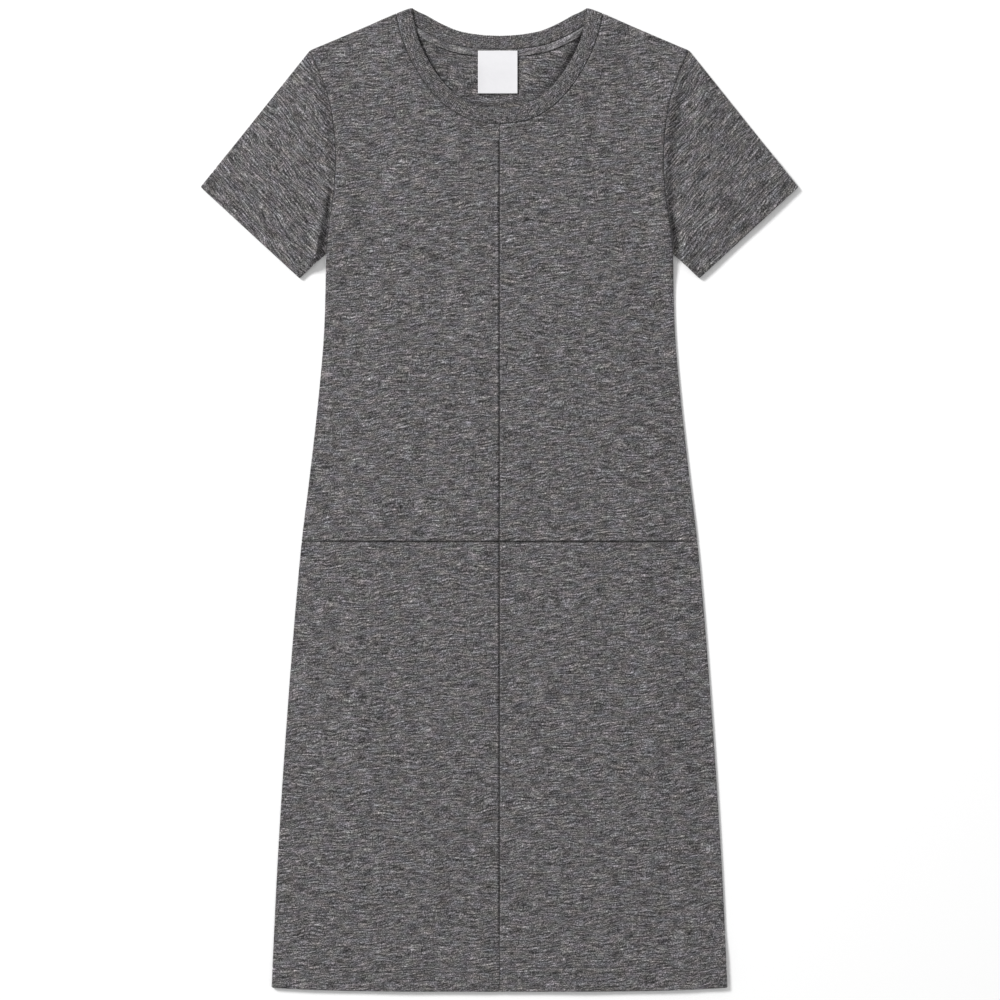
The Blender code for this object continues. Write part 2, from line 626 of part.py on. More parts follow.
def build_sleeves():
    """The two sleeves. Each has creases of its own."""
    for side, mirror, creases in (("left", 1.0, CREASES_LEFT), ("right", -1.0, CREASES_RIGHT)):
        flip = np.array([mirror, 1.0, 1.0])
        outer = sleeve_skin(0.0, creases) * flip
        inner = sleeve_skin(CLOTH, creases) * flip
        add_wall(f"sleeve_{side}", outer, inner, JERSEY, closed=True)


def build_neck():
    """The neckband, the tape over the back neck seam, and the label."""
    band = neckband_grid()
    rows, columns = band.shape[:2]
    add_piece("neckband", band, grid_faces(rows, columns, 0, True, True), RIB)
    add_wall("neck_tape", *tape_skins(), JERSEY)
    add_wall("label", *label_skins(), SATIN)


def main():
    """Clears the scene and builds the dress."""
    for item in list(bpy.data.objects):
        bpy.data.objects.remove(item)
    build_body()
    build_sleeves()
    build_neck()


main()
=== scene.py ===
"""A short-sleeved T-shirt dress in marl jersey, laid flat on its back: its cloth, trims and sewing.

X runs across the dress, with the wearer's left at +X. Y runs from the hem to the neck, and Z up from
the surface it lies on. Sizes are in metres.

How the layers lie. The dress is a flattened tube of height H, which changes from place to place. At
depth e inside its outer skin, a point of the front is at z = H - e and a point of the back at z = e.
Round a side, a shoulder or a sleeve's fold, both follow a half circle of radius H / 2 - e. A hem is
turned up inside: the wall runs round a small fold and back again at a greater depth.
"""

import logging
from dataclasses import dataclass, field
from enum import Enum
from math import cos, hypot, pi, radians, sin
from typing import ClassVar

import bpy
import numpy as np
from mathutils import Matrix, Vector


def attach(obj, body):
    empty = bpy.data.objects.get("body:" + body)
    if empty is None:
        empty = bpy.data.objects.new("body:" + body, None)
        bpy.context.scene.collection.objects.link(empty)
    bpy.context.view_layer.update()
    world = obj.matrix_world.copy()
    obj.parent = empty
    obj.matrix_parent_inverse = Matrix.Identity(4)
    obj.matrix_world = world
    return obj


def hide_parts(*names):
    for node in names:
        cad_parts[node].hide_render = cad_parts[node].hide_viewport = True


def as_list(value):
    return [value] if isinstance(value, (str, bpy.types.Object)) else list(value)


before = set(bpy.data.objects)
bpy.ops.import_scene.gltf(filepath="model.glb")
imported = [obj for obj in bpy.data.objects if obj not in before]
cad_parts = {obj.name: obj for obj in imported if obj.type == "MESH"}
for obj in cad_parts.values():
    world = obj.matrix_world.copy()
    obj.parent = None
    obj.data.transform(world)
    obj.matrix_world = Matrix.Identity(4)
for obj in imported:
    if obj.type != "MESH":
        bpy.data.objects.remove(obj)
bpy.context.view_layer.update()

logging.basicConfig(level=logging.INFO, format="%(message)s")
log = logging.getLogger("dress")

MM = 0.001
Pair = tuple[float, float]
Points = tuple[Pair, ...]
Colour = tuple[float, float, float]

# The cloth, and how closely its layers lie
CLOTH = 1.0 * MM
SEAM_GAP = 0.3 * MM
CURVED_SEAM_GAP = 1.2 * SEAM_GAP
LAYER_GAP = 0.6 * MM
FLAT_HEIGHT = 2 * CLOTH + LAYER_GAP
LEAST_HEIGHT = 2.3 * MM
TRIM_WALL = 1.0 * MM

# Hems are turned up once
HEM_DEPTH = 24.0 * MM
HEM_FOLD = (2 * CLOTH + SEAM_GAP) / 2
HEM_HEIGHT = 4 * CLOTH + 2 * SEAM_GAP + LAYER_GAP
HEM_FADE = 38.0 * MM

# The rounding of a cut edge as it rolls into its seam, outside and inside
ROLL_OUTSIDE = 0.85 * MM
ROLL_INSIDE = 0.1 * MM

# How far the grain of an inner skin is shifted from that of the outer one
GRAIN_SLIP = 0.7 * CLOTH

# Faces that meet at more than this are shaded with an edge between them
SHARP_ANGLE = radians(55)


class Face(Enum):
    """Which layer of the dress a piece is in."""

    FRONT = "front"
    BACK = "back"


class Side(Enum):
    """The wearer's side that a piece is on, with the sign of its X."""

    LEFT = 1.0
    RIGHT = -1.0

    @property
    def word(self) -> str:
        """The side's name as pieces carry it."""
        return self.name.lower()

    def pick(self, pair: tuple) -> object:
        """This side's one of two values, the left's first."""
        return pair[0] if self is Side.LEFT else pair[1]


class Slot(Enum):
    """The record's material slots."""

    JERSEY = "marl_jersey"
    RIB = "marl_rib"
    SATIN = "label_satin"


# ---------------------------------------------------------------------------------------------------
# Curves and fields

LINE_POINTS = 61


def in_mm(*pairs: Pair) -> Points:
    """Places, or other pairs of lengths, given in millimetres."""
    return tuple((first * MM, second * MM) for first, second in pairs)


def blend(first: object, second: object, share: np.ndarray) -> np.ndarray:
    """A share of the way from a first value to a second."""
    return first + (second - first) * share


def ease(value: np.ndarray, start: float, end: float) -> np.ndarray:
    """Zero up to start, one from end, and the S curve 3s^2 - 2s^3 between them."""
    share = np.clip((value - start) / (end - start), 0.0, 1.0)
    return share * share * (3.0 - 2.0 * share)


def bell(value: np.ndarray, centre: float, half_width: float) -> np.ndarray:
    """A bell curve, exp of minus the square of (value - centre) / half_width."""
    return np.exp(-(((value - centre) / half_width) ** 2))


def roll(distance: np.ndarray, radius: float) -> np.ndarray:
    """How far a rolled edge drops at a distance from it: radius less the height of its quarter circle."""
    inside = np.clip(1.0 - distance / radius, 0.0, 1.0)
    return radius * (1.0 - np.sqrt(1.0 - inside**2))


def rolled(distance: np.ndarray, rounding: float) -> np.ndarray:
    """How much deeper a skin is at a distance from its cut edge, or less deep if rounding is below zero."""
    return np.sign(rounding) * roll(np.maximum(distance, 0.0), abs(rounding))


def skin_depth(inner: bool) -> Pair:
    """A skin's depth in the cloth, and the rounding of its cut edges."""
    return (CLOTH, -ROLL_INSIDE) if inner else (0.0, ROLL_OUTSIDE)


def through(at: np.ndarray, knots: np.ndarray, values: np.ndarray) -> np.ndarray:
    """A cubic curve through values at rising knots, held level outside them.

    Args:
        at: where the curve is read.
        knots: rising places.
        values: the curve's values there. Its slopes are the differences across each knot.

    Returns:
        The curve's values at the places in at, as a cubic in each step between two knots.
    """
    knots = np.asarray(knots, float)
    values = np.asarray(values, float)
    slopes = np.gradient(values, knots)
    at = np.clip(at, knots[0], knots[-1])
    left = np.clip(np.searchsorted(knots, at) - 1, 0, len(knots) - 2)
    step = knots[left + 1] - knots[left]
    s = (at - knots[left]) / step
    rise = values[left + 1] - values[left]
    start, end = slopes[left] * step, slopes[left + 1] * step
    return values[left] + s * start + s**2 * (3 * rise - 2 * start - end) + s**3 * (start + end - 2 * rise)


def along_curve(points: Points, shares: np.ndarray) -> np.ndarray:
    """Places along a smooth plan curve.

    Args:
        points: places that the curve passes through.
        shares: shares of its chord length.

    Returns:
        Rows of x, y: a cubic in x and one in y, each over the chord length.
    """
    table = np.array(points, float)
    steps = np.hypot(*np.diff(table, axis=0).T)
    knots = np.concatenate([[0.0], np.cumsum(steps)])
    at = np.asarray(shares, float) * knots[-1]
    return np.stack([through(at, knots, table[:, 0]), through(at, knots, table[:, 1])], axis=-1)


def distance_to(curve: np.ndarray, x: np.ndarray, y: np.ndarray) -> np.ndarray:
    """The distance in plan from each place to a line of short straight steps.

    Args:
        curve: rows of x, y.
        x: the places' x, in any shape.
        y: the places' y, in the same shape.

    Returns:
        The least distance to any step, each measured square to the step or to its nearer end.
    """
    start, step = curve[:-1], np.diff(curve, axis=0)
    away_x = x[..., None] - start[:, 0]
    away_y = y[..., None] - start[:, 1]
    share = (away_x * step[:, 0] + away_y * step[:, 1]) / (step**2).sum(axis=1)
    share = np.clip(share, 0.0, 1.0)
    return np.hypot(away_x - share * step[:, 0], away_y - share * step[:, 1]).min(axis=-1)


def edge_inset(depth: np.ndarray, height: np.ndarray, angle: np.ndarray) -> np.ndarray:
    """How far in from the outline a skin lies at an angle of its half circle: e + (H/2 - e)(1 - cos)."""
    return depth + (height / 2 - depth) * (1.0 - np.cos(angle))


@dataclass(frozen=True)
class Crease:
    """A soft trough in the cloth, or a ridge where its depth is below zero, along a bowed line."""

    start: Pair
    end: Pair
    half_width: float
    depth: float
    bow: float = 0.0
    taper: float = 1.2

    def at(self, x: np.ndarray, y: np.ndarray) -> np.ndarray:
        """How far the crease lowers the cloth.

        Args:
            x: places across the whole dress.
            y: their heights up the dress.

        Returns:
            depth, times a bell across the line, times a half wave along it to the power taper. The
            line bows sideways by 4 s (1 - s) of its bow at a share s of its length.
        """
        run = np.array(self.end) - np.array(self.start)
        length = hypot(*run)
        along = ((x - self.start[0]) * run[0] + (y - self.start[1]) * run[1]) / length**2
        aside = ((y - self.start[1]) * run[0] - (x - self.start[0]) * run[1]) / length
        aside = aside - self.bow * 4.0 * along * (1.0 - along)
        fade = np.sin(pi * np.clip(along, 0.0, 1.0)) ** self.taper
        return self.depth * fade * bell(aside, 0.0, self.half_width)


@dataclass(frozen=True)
class Swells:
    """The low, wide unevenness of cloth laid by hand: a sum of slow waves in set directions."""

    amount: float
    seed: int
    lengths: Pair = (70.0 * MM, 190.0 * MM)
    count: int = 9

    def at(self, x: np.ndarray, y: np.ndarray) -> np.ndarray:
        """The waves' sum, with each wave's direction, length and start drawn from the seed."""
        draw = np.random.default_rng(self.seed)
        heading = draw.uniform(0.0, pi, self.count)
        length = draw.uniform(*self.lengths, self.count)
        start = draw.uniform(0.0, 2 * pi, self.count)
        run = x[..., None] * np.cos(heading) + y[..., None] * np.sin(heading)
        waves = np.sin(2 * pi * run / length + start)
        return self.amount * waves.sum(axis=-1) / np.sqrt(self.count)


# ---------------------------------------------------------------------------------------------------
# The cut and the way it lies


@dataclass(frozen=True)
class Cut:
    """The dress's outline and seam lines, for the wearer's left half. The other half mirrors it."""

    half_length: float = 500.4 * MM
    hem_side_y: float = -496.3 * MM
    waist_y: float = -43.05 * MM
    underarm: Pair = (176.4 * MM, 249.7 * MM)
    shoulder_tip: Pair = (192.6 * MM, 457.0 * MM)
    shoulder_neck: Pair = (105.4 * MM, 494.3 * MM)
    neck_peak: Pair = (89.5 * MM, 500.4 * MM)
    cuff_top: Pair = (304.1 * MM, 317.8 * MM)
    cuff_underarm: Pair = (203.2 * MM, 224.8 * MM)
    side_seam: Points = in_mm(
        (-496.3, 231.9), (-407.8, 228.0), (-306.1, 222.2), (-204.4, 215.1), (-102.7, 207.0),
        (-42.7, 201.4), (24.4, 193.2), (100.7, 184.6), (165.0, 179.0), (249.7, 176.4),
    )
    waist_row: int = 5
    armhole_front: Points = in_mm(
        (249.7, 176.4), (277.6, 173.4), (314.3, 168.3), (342.7, 166.6),
        (379.4, 168.6), (405.8, 173.1), (431.2, 181.6), (457.0, 192.6),
    )
    armhole_back: Points = in_mm(
        (249.7, 176.4), (277.6, 175.0), (342.7, 172.6), (405.8, 178.2), (457.0, 192.6),
    )
    neck_front: Points = in_mm(
        (0.0, 381.3), (27.9, 385.2), (49.8, 396.1), (70.9, 416.4),
        (84.8, 437.1), (95.4, 458.6), (102.1, 478.8), (105.4, 494.3),
    )
    neck_back: Points = in_mm(
        (0.0, 457.8), (23.7, 458.9), (48.8, 463.2), (65.8, 470.2), (86.0, 481.7), (105.4, 494.3),
    )

    @property
    def waist_half(self) -> float:
        """The half width at the waist seam."""
        return self.side_seam[self.waist_row][1]

    def armhole(self, face: Face) -> Points:
        """The armhole's rows of height and half width on one face."""
        return self.armhole_front if face is Face.FRONT else self.armhole_back

    def neck(self, face: Face) -> Points:
        """The neck seam's rows of x, y on one face, from the centre to the shoulder."""
        return self.neck_front if face is Face.FRONT else self.neck_back

    def half_width(self, y: np.ndarray, face: Face) -> np.ndarray:
        """The outline's half width at height y: the side seam's curve, and the armhole's above it."""
        seam = through(y, *np.array(self.side_seam).T)
        hole = through(y, *np.array(self.armhole(face)).T)
        return np.where(y < self.underarm[1], seam, hole)

    @property
    def shoulder_cosine(self) -> float:
        """The cosine of the shoulder seam's slope."""
        run = self.shoulder_tip[0] - self.shoulder_neck[0]
        return run / hypot(run, self.shoulder_neck[1] - self.shoulder_tip[1])

    def shoulder_y(self, x: np.ndarray) -> np.ndarray:
        """The straight shoulder seam's height at x."""
        run = self.shoulder_tip[0] - self.shoulder_neck[0]
        fall = self.shoulder_neck[1] - self.shoulder_tip[1]
        return self.shoulder_neck[1] - fall * (x - self.shoulder_neck[0]) / run

    def hem_y(self, x: np.ndarray) -> np.ndarray:
        """The hem's height at x: it drops from the side seams by the fourth power of x, nearly level."""
        drop = self.half_length + self.hem_side_y
        return self.hem_side_y - drop * (1.0 - (x / self.side_seam[0][1]) ** 4)

    def armhole_line(self, face: Face, shares: np.ndarray) -> np.ndarray:
        """Places on the armhole's edge of the body, at shares of the way down from the shoulder."""
        y = self.shoulder_tip[1] + np.asarray(shares) * (self.underarm[1] - self.shoulder_tip[1])
        return np.stack([self.half_width(y, face), y], axis=-1)


@dataclass(frozen=True)
class BodyLie:
    """The height H of the flattened body, place by place, with its swells, dips and creases.

    A pair whose name is a plural holds a value for each side of the dress, the wearer's left first. Any
    other pair is a range for an ease, or the centre and half width of a bell.
    """

    cut: Cut

    # The loft of the front, and how it fades towards the sides, the shoulders and the hem
    loft: float = 3.0 * MM
    loft_starts: Pair = (0.0, 6.0 * MM)
    loft_ends: Pair = (62.0 * MM, 85.0 * MM)
    loft_from_shoulder: Pair = (4.0 * MM, 75.0 * MM)
    loft_from_hem: Pair = (0.0, 110.0 * MM)

    # A roll beside each side seam and a valley inside it, which fade below the underarm
    side_roll: float = 0.9 * MM
    side_roll_bell: Pair = (9.0 * MM, 6.0 * MM)
    side_valley: float = 0.65 * MM
    side_valley_bell: Pair = (25.0 * MM, 9.0 * MM)
    side_shares: Pair = (0.3, 0.1)
    side_fade: float = 40.0 * MM

    # A rise at the underarm, a little lower at the seam, and one along the armhole
    underarm_rises: Pair = (9.4 * MM, 5.0 * MM)
    underarm_places: Points = in_mm((172.0, 271.0), (157.0, 283.0))
    underarm_width: float = 19.0 * MM
    underarm_length: float = 31.0 * MM
    underarm_edges: Pair = (0.21, 0.12)
    underarm_edge: float = 8.0 * MM
    armhole_rises: Pair = (5.5 * MM, 0.5 * MM)
    armhole_bell: Pair = (0.0, 24.0 * MM)
    armhole_from_shoulder: Pair = (2.0 * MM, 52.0 * MM)

    # The upper face of the front neckband, as rows of y and z, and how the cloth is drawn up to it
    band_tops: Points = in_mm(
        (381.3, 7.0), (410.0, 8.4), (445.0, 9.6), (470.0, 8.8), (486.0, 6.6), (492.0, 5.6),
    )
    band_proud: float = 0.5 * MM
    neck_pull: float = 34.0 * MM
    neck_edge: float = 0.5 * MM
    neck_ridge_bell: Pair = (2.6 * MM, 1.8 * MM)
    neck_groove_bell: Pair = (0.0, 1.0 * MM)

    # A wide dip over the centre seam and one over the waist seam
    centre_dip: float = 0.5 * MM
    centre_dip_bell: Pair = (0.0, 8.0 * MM)
    centre_dip_from_neck: Pair = (0.0, 50.0 * MM)
    waist_dip: float = 0.3 * MM
    waist_dip_bell: Pair = (0.0, 7.0 * MM)

    # In each of those seams a narrow valley, with a ridge beside it, and the edge of the allowance
    seam_valley: float = 1.2 * MM
    centre_valley_bell: Pair = (0.0, 1.25 * MM)
    waist_valley: float = 1.5
    waist_valley_bell: Pair = (0.0, 1.0 * MM)
    seam_ridge: float = 0.5 * MM
    centre_ridge: float = 0.7
    centre_ridge_bell: Pair = (2.2 * MM, 1.0 * MM)
    waist_ridge: float = 1.3
    waist_ridge_bell: Pair = (0.87 * 2.2 * MM, 1.0 * MM)
    allowance: float = 0.2 * MM
    allowance_bell: Pair = (-4.9 * MM, 0.9 * MM)
    allowance_from_neck: Pair = (0.0, 20.0 * MM)

    # A lip beside the armhole seam, higher towards the shoulder, and a groove in it
    lips: Pair = (0.5 * MM, 0.9 * MM)
    lip_tops: Pair = (1.0, 1.7)
    lip_from_y: Pair = (375.0 * MM, 410.0 * MM)
    left_lip_bell: Pair = (2.7 * MM, 2.4 * MM)
    right_lip_rise: Pair = (0.2 * MM, 3.8 * MM)
    right_lip_fall: Pair = (3.8 * MM, 42.0 * MM)
    armhole_groove: float = 0.55 * MM
    armhole_groove_bell: Pair = (0.0, 0.85 * MM)

    # A swell of the back inside the neck: wider at the sides than at the front and near the peaks, and
    # lower behind the label and at the front than beside the peaks
    neck_swell: float = 4.1 * MM
    neck_swell_from: float = 15.0 * MM
    front_over: float = 4.5 * MM
    side_over: float = 10.0 * MM
    front_share: float = 0.55
    side_from_y: Pair = (398.0 * MM, 432.0 * MM)
    peak_less: float = 4.0 * MM
    peak_from_y: Pair = (464.0 * MM, 478.0 * MM)
    fall_over: float = 28.0 * MM
    fall_less: float = 19.0 * MM
    fall_from_x: Pair = (24.0 * MM, 66.0 * MM)
    fall_past: float = 2.0 * MM
    label_share: float = 0.35
    label_from_x: Pair = (14.0 * MM, 44.0 * MM)
    peak_share: float = 0.3
    peak_from_x: Pair = (55.0 * MM, 76.0 * MM)

    # Shallow pockets of air under the back
    pockets: Swells = Swells(0.25 * MM, 37, (55.0 * MM, 140.0 * MM))
    pocket_mean: float = 0.1 * MM
    pocket_most: float = 0.45 * MM
    pocket_from_side: Pair = (25.0 * MM, 60.0 * MM)
    pocket_from_hem: Pair = (40.0 * MM, 80.0 * MM)
    pocket_from_y: Pair = (365.0 * MM, 405.0 * MM)

    # The unevenness of the front, away from its sides and the neck
    swells: Swells = Swells(0.42 * MM, 11)
    swells_from_side: Pair = (4.0 * MM, 40.0 * MM)
    swells_from_neck: Pair = (2.0 * MM, 30.0 * MM)
    creases: tuple[Crease, ...] = ()

    def band_top(self, y: np.ndarray) -> np.ndarray:
        """The height of the front neckband's upper face: it stands off the back, less at the shoulders."""
        return through(y, *np.array(self.band_tops).T)

    def seams(self, x: np.ndarray, y: np.ndarray) -> tuple[np.ndarray, np.ndarray]:
        """Distances in plan from the front neck seam and from the front armhole seam."""
        shares = np.linspace(0.0, 1.0, LINE_POINTS)
        neck = along_curve(self.cut.neck_front, shares)
        hole = self.cut.armhole_line(Face.FRONT, shares)
        return distance_to(neck, x, y), distance_to(hole, x, y)

    def neck_rise(self, x: np.ndarray, y: np.ndarray) -> np.ndarray:
        """How far the back swells up inside the neck.

        Args:
            x: places out from the centre line, on either side.
            y: their heights up the dress.

        Returns:
            neck_swell, times 1 - (1 - s)^2 at a share s of the way in from the front band's inner
            edge, times an ease down from the back neck seam, times shares for the front, for the
            cloth behind the label and for the peaks.
        """
        front = along_curve(self.cut.neck_front, np.linspace(0.0, 1.0, LINE_POINTS))
        back = along_curve(self.cut.neck_back, np.linspace(0.0, 1.0, LINE_POINTS))
        above = y > np.interp(x, front[:, 0], front[:, 1])
        side_on = ease(y, *self.side_from_y)
        over = blend(self.front_over, self.side_over, side_on) - self.peak_less * ease(y, *self.peak_from_y)
        share = np.clip((distance_to(front, x, y) - self.neck_swell_from) / over, 0.0, 1.0)
        fall_over = self.fall_over - self.fall_less * ease(x, *self.fall_from_x)
        below = np.interp(x, back[:, 0], back[:, 1]) - y + self.fall_past
        outward = blend(self.label_share, 1.0, ease(x, *self.label_from_x))
        outward = outward + self.peak_share * ease(x, *self.peak_from_x)
        fall = ease(below / fall_over, 0.0, 1.0) * blend(self.front_share, 1.0, side_on) * outward
        return self.neck_swell * above * (1.0 - (1.0 - share) ** 2) * fall

    def pocket(self, x: np.ndarray, y: np.ndarray, side: Side) -> np.ndarray:
        """How far the back layer rises off the surface: a swell inside the neck, and shallow pockets of
        air, none near its edges."""
        from_side = self.cut.half_width(y, Face.FRONT) - x
        from_hem = y - self.cut.hem_y(x)
        inside = ease(from_side, *self.pocket_from_side) * ease(from_hem, *self.pocket_from_hem)
        inside = inside * (1.0 - ease(y, *self.pocket_from_y))
        air = np.clip(self.pocket_mean + self.pockets.at(x * side.value, y), 0.0, self.pocket_most)
        return air * inside + self.neck_rise(x, y)

    def side_relief(self, y: np.ndarray, from_side: np.ndarray, side: Side) -> np.ndarray:
        """The roll beside a side seam, less the valley inside it."""
        under = self.cut.underarm[1]
        below = 1.0 - ease(y, under - self.side_fade, under)
        roll_up = self.side_roll * bell(from_side, *self.side_roll_bell)
        sunk = self.side_valley * bell(from_side, *self.side_valley_bell)
        return side.pick(self.side_shares) * (roll_up - sunk) * below

    def armhole_rise(
        self, x: np.ndarray, y: np.ndarray, from_hole: np.ndarray, from_shoulder: np.ndarray, side: Side
    ) -> np.ndarray:
        """The rise beside the armhole.

        Args:
            x: places out from the centre line, on either side.
            y: their heights up the dress.
            from_hole: their distances from the armhole seam.
            from_shoulder: their distances from the shoulder seam.
            side: the wearer's side.

        Returns:
            The higher of a bell about a place near the underarm and a bell along the whole seam.
        """
        place = side.pick(self.underarm_places)
        aside = (x - place[0]) / self.underarm_width
        up = (y - place[1]) / self.underarm_length
        rise = side.pick(self.underarm_rises) * np.exp(-(aside**2) - up**2)
        at_edge = 1.0 - ease(from_hole, 0.0, self.underarm_edge)
        rise = rise * (1.0 - side.pick(self.underarm_edges) * at_edge)
        along_hole = side.pick(self.armhole_rises) * bell(from_hole, *self.armhole_bell)
        return np.maximum(rise, along_hole * ease(from_shoulder, *self.armhole_from_shoulder))

    def seam_relief(self, x: np.ndarray, y: np.ndarray, from_neck: np.ndarray, side: Side) -> np.ndarray:
        """The ridges beside the centre and waist seams, less their dips, valleys and allowance.

        Args:
            x: places out from the centre line, on either side.
            y: their heights up the dress.
            from_neck: their distances from the front neck seam.
            side: the wearer's side.

        Returns:
            A sum of bells across the two seams. Where the valleys cross, the deeper one counts.
        """
        from_waist = y - self.cut.waist_y
        dip = self.centre_dip * bell(x, *self.centre_dip_bell) * ease(from_neck, *self.centre_dip_from_neck)
        dip = dip + self.waist_dip * bell(from_waist, *self.waist_dip_bell)
        valley = self.waist_valley * bell(from_waist, *self.waist_valley_bell)
        valley = np.maximum(bell(x, *self.centre_valley_bell), valley)
        edge = self.allowance * bell(x * side.value, *self.allowance_bell)
        edge = edge * ease(from_neck, *self.allowance_from_neck)
        ridge = self.waist_ridge * bell(from_waist, *self.waist_ridge_bell)
        ridge = ridge + self.centre_ridge * bell(x, *self.centre_ridge_bell)
        return self.seam_ridge * ridge - dip - self.seam_valley * valley - edge

    def armhole_relief(self, y: np.ndarray, from_hole: np.ndarray, side: Side) -> np.ndarray:
        """The lip beside the armhole seam, less the groove in it: the lip is a bell on the wearer's left,
        and a step that falls slowly on the right."""
        top = 1.0 + (side.pick(self.lip_tops) - 1.0) * ease(y, *self.lip_from_y)
        step = ease(from_hole, *self.right_lip_rise) * (1.0 - ease(from_hole, *self.right_lip_fall))
        lip = side.pick((bell(from_hole, *self.left_lip_bell), step))
        groove = self.armhole_groove * bell(from_hole, *self.armhole_groove_bell)
        return side.pick(self.lips) * top * lip - groove

    def height(self, x: np.ndarray, y: np.ndarray, side: Side) -> np.ndarray:
        """H over the body, from x out to one side.

        Args:
            x: places out from the centre line, on either side.
            y: their heights up the dress.
            side: the wearer's side, which has its own creases.

        Returns:
            The flat height; plus a loft that fades towards the sides, shoulders and hem; plus the
            relief of the sides, the armhole and the seams; less the creases; plus the swells; drawn up
            to the neckband near it; plus two more plies in the hem.
        """
        cut = self.cut
        world_x = x * side.value
        from_side = cut.half_width(y, Face.FRONT) - x
        from_shoulder = (cut.shoulder_y(x) - y) * cut.shoulder_cosine
        from_neck, from_hole = self.seams(x, y)
        from_hem = y - cut.hem_y(x)
        open_field = ease(from_side, side.pick(self.loft_starts), side.pick(self.loft_ends))
        open_field = open_field * ease(from_shoulder, *self.loft_from_shoulder)
        open_field = open_field * ease(from_hem, *self.loft_from_hem)
        height = FLAT_HEIGHT + self.loft * open_field + self.side_relief(y, from_side, side)
        height = height + self.armhole_rise(x, y, from_hole, from_shoulder, side)
        soft = ease(from_side, *self.swells_from_side) * ease(from_neck, *self.swells_from_neck)
        height = height + self.swells.at(world_x, y) * soft
        for crease in self.creases:
            height = height - crease.at(world_x, y)
        height = height + self.seam_relief(x, y, from_neck, side) + self.armhole_relief(y, from_hole, side)
        pull = 1.0 - ease(from_neck, 0.0, self.neck_pull)
        height = blend(height, self.band_top(y) - self.band_proud, pull)
        at_band = bell(from_neck, *self.neck_ridge_bell) - bell(from_neck, *self.neck_groove_bell)
        height = height + self.neck_edge * at_band
        height = np.maximum(height, LEAST_HEIGHT + self.pocket(x, y, side))
        in_hem = 1.0 - ease(from_hem, HEM_DEPTH, HEM_DEPTH + HEM_FADE)
        return height + (HEM_HEIGHT - FLAT_HEIGHT) * in_hem


@dataclass(frozen=True)
class Track:
    """Places on one layer of a sleeve, as (ring, column).

    across is the share of the way from the shoulder fold to the underarm, seam and cuff are the
    distances from the armhole seam and from the cuff's edge, and point is the plan place.
    """

    across: np.ndarray
    seam: np.ndarray
    cuff: np.ndarray
    point: np.ndarray


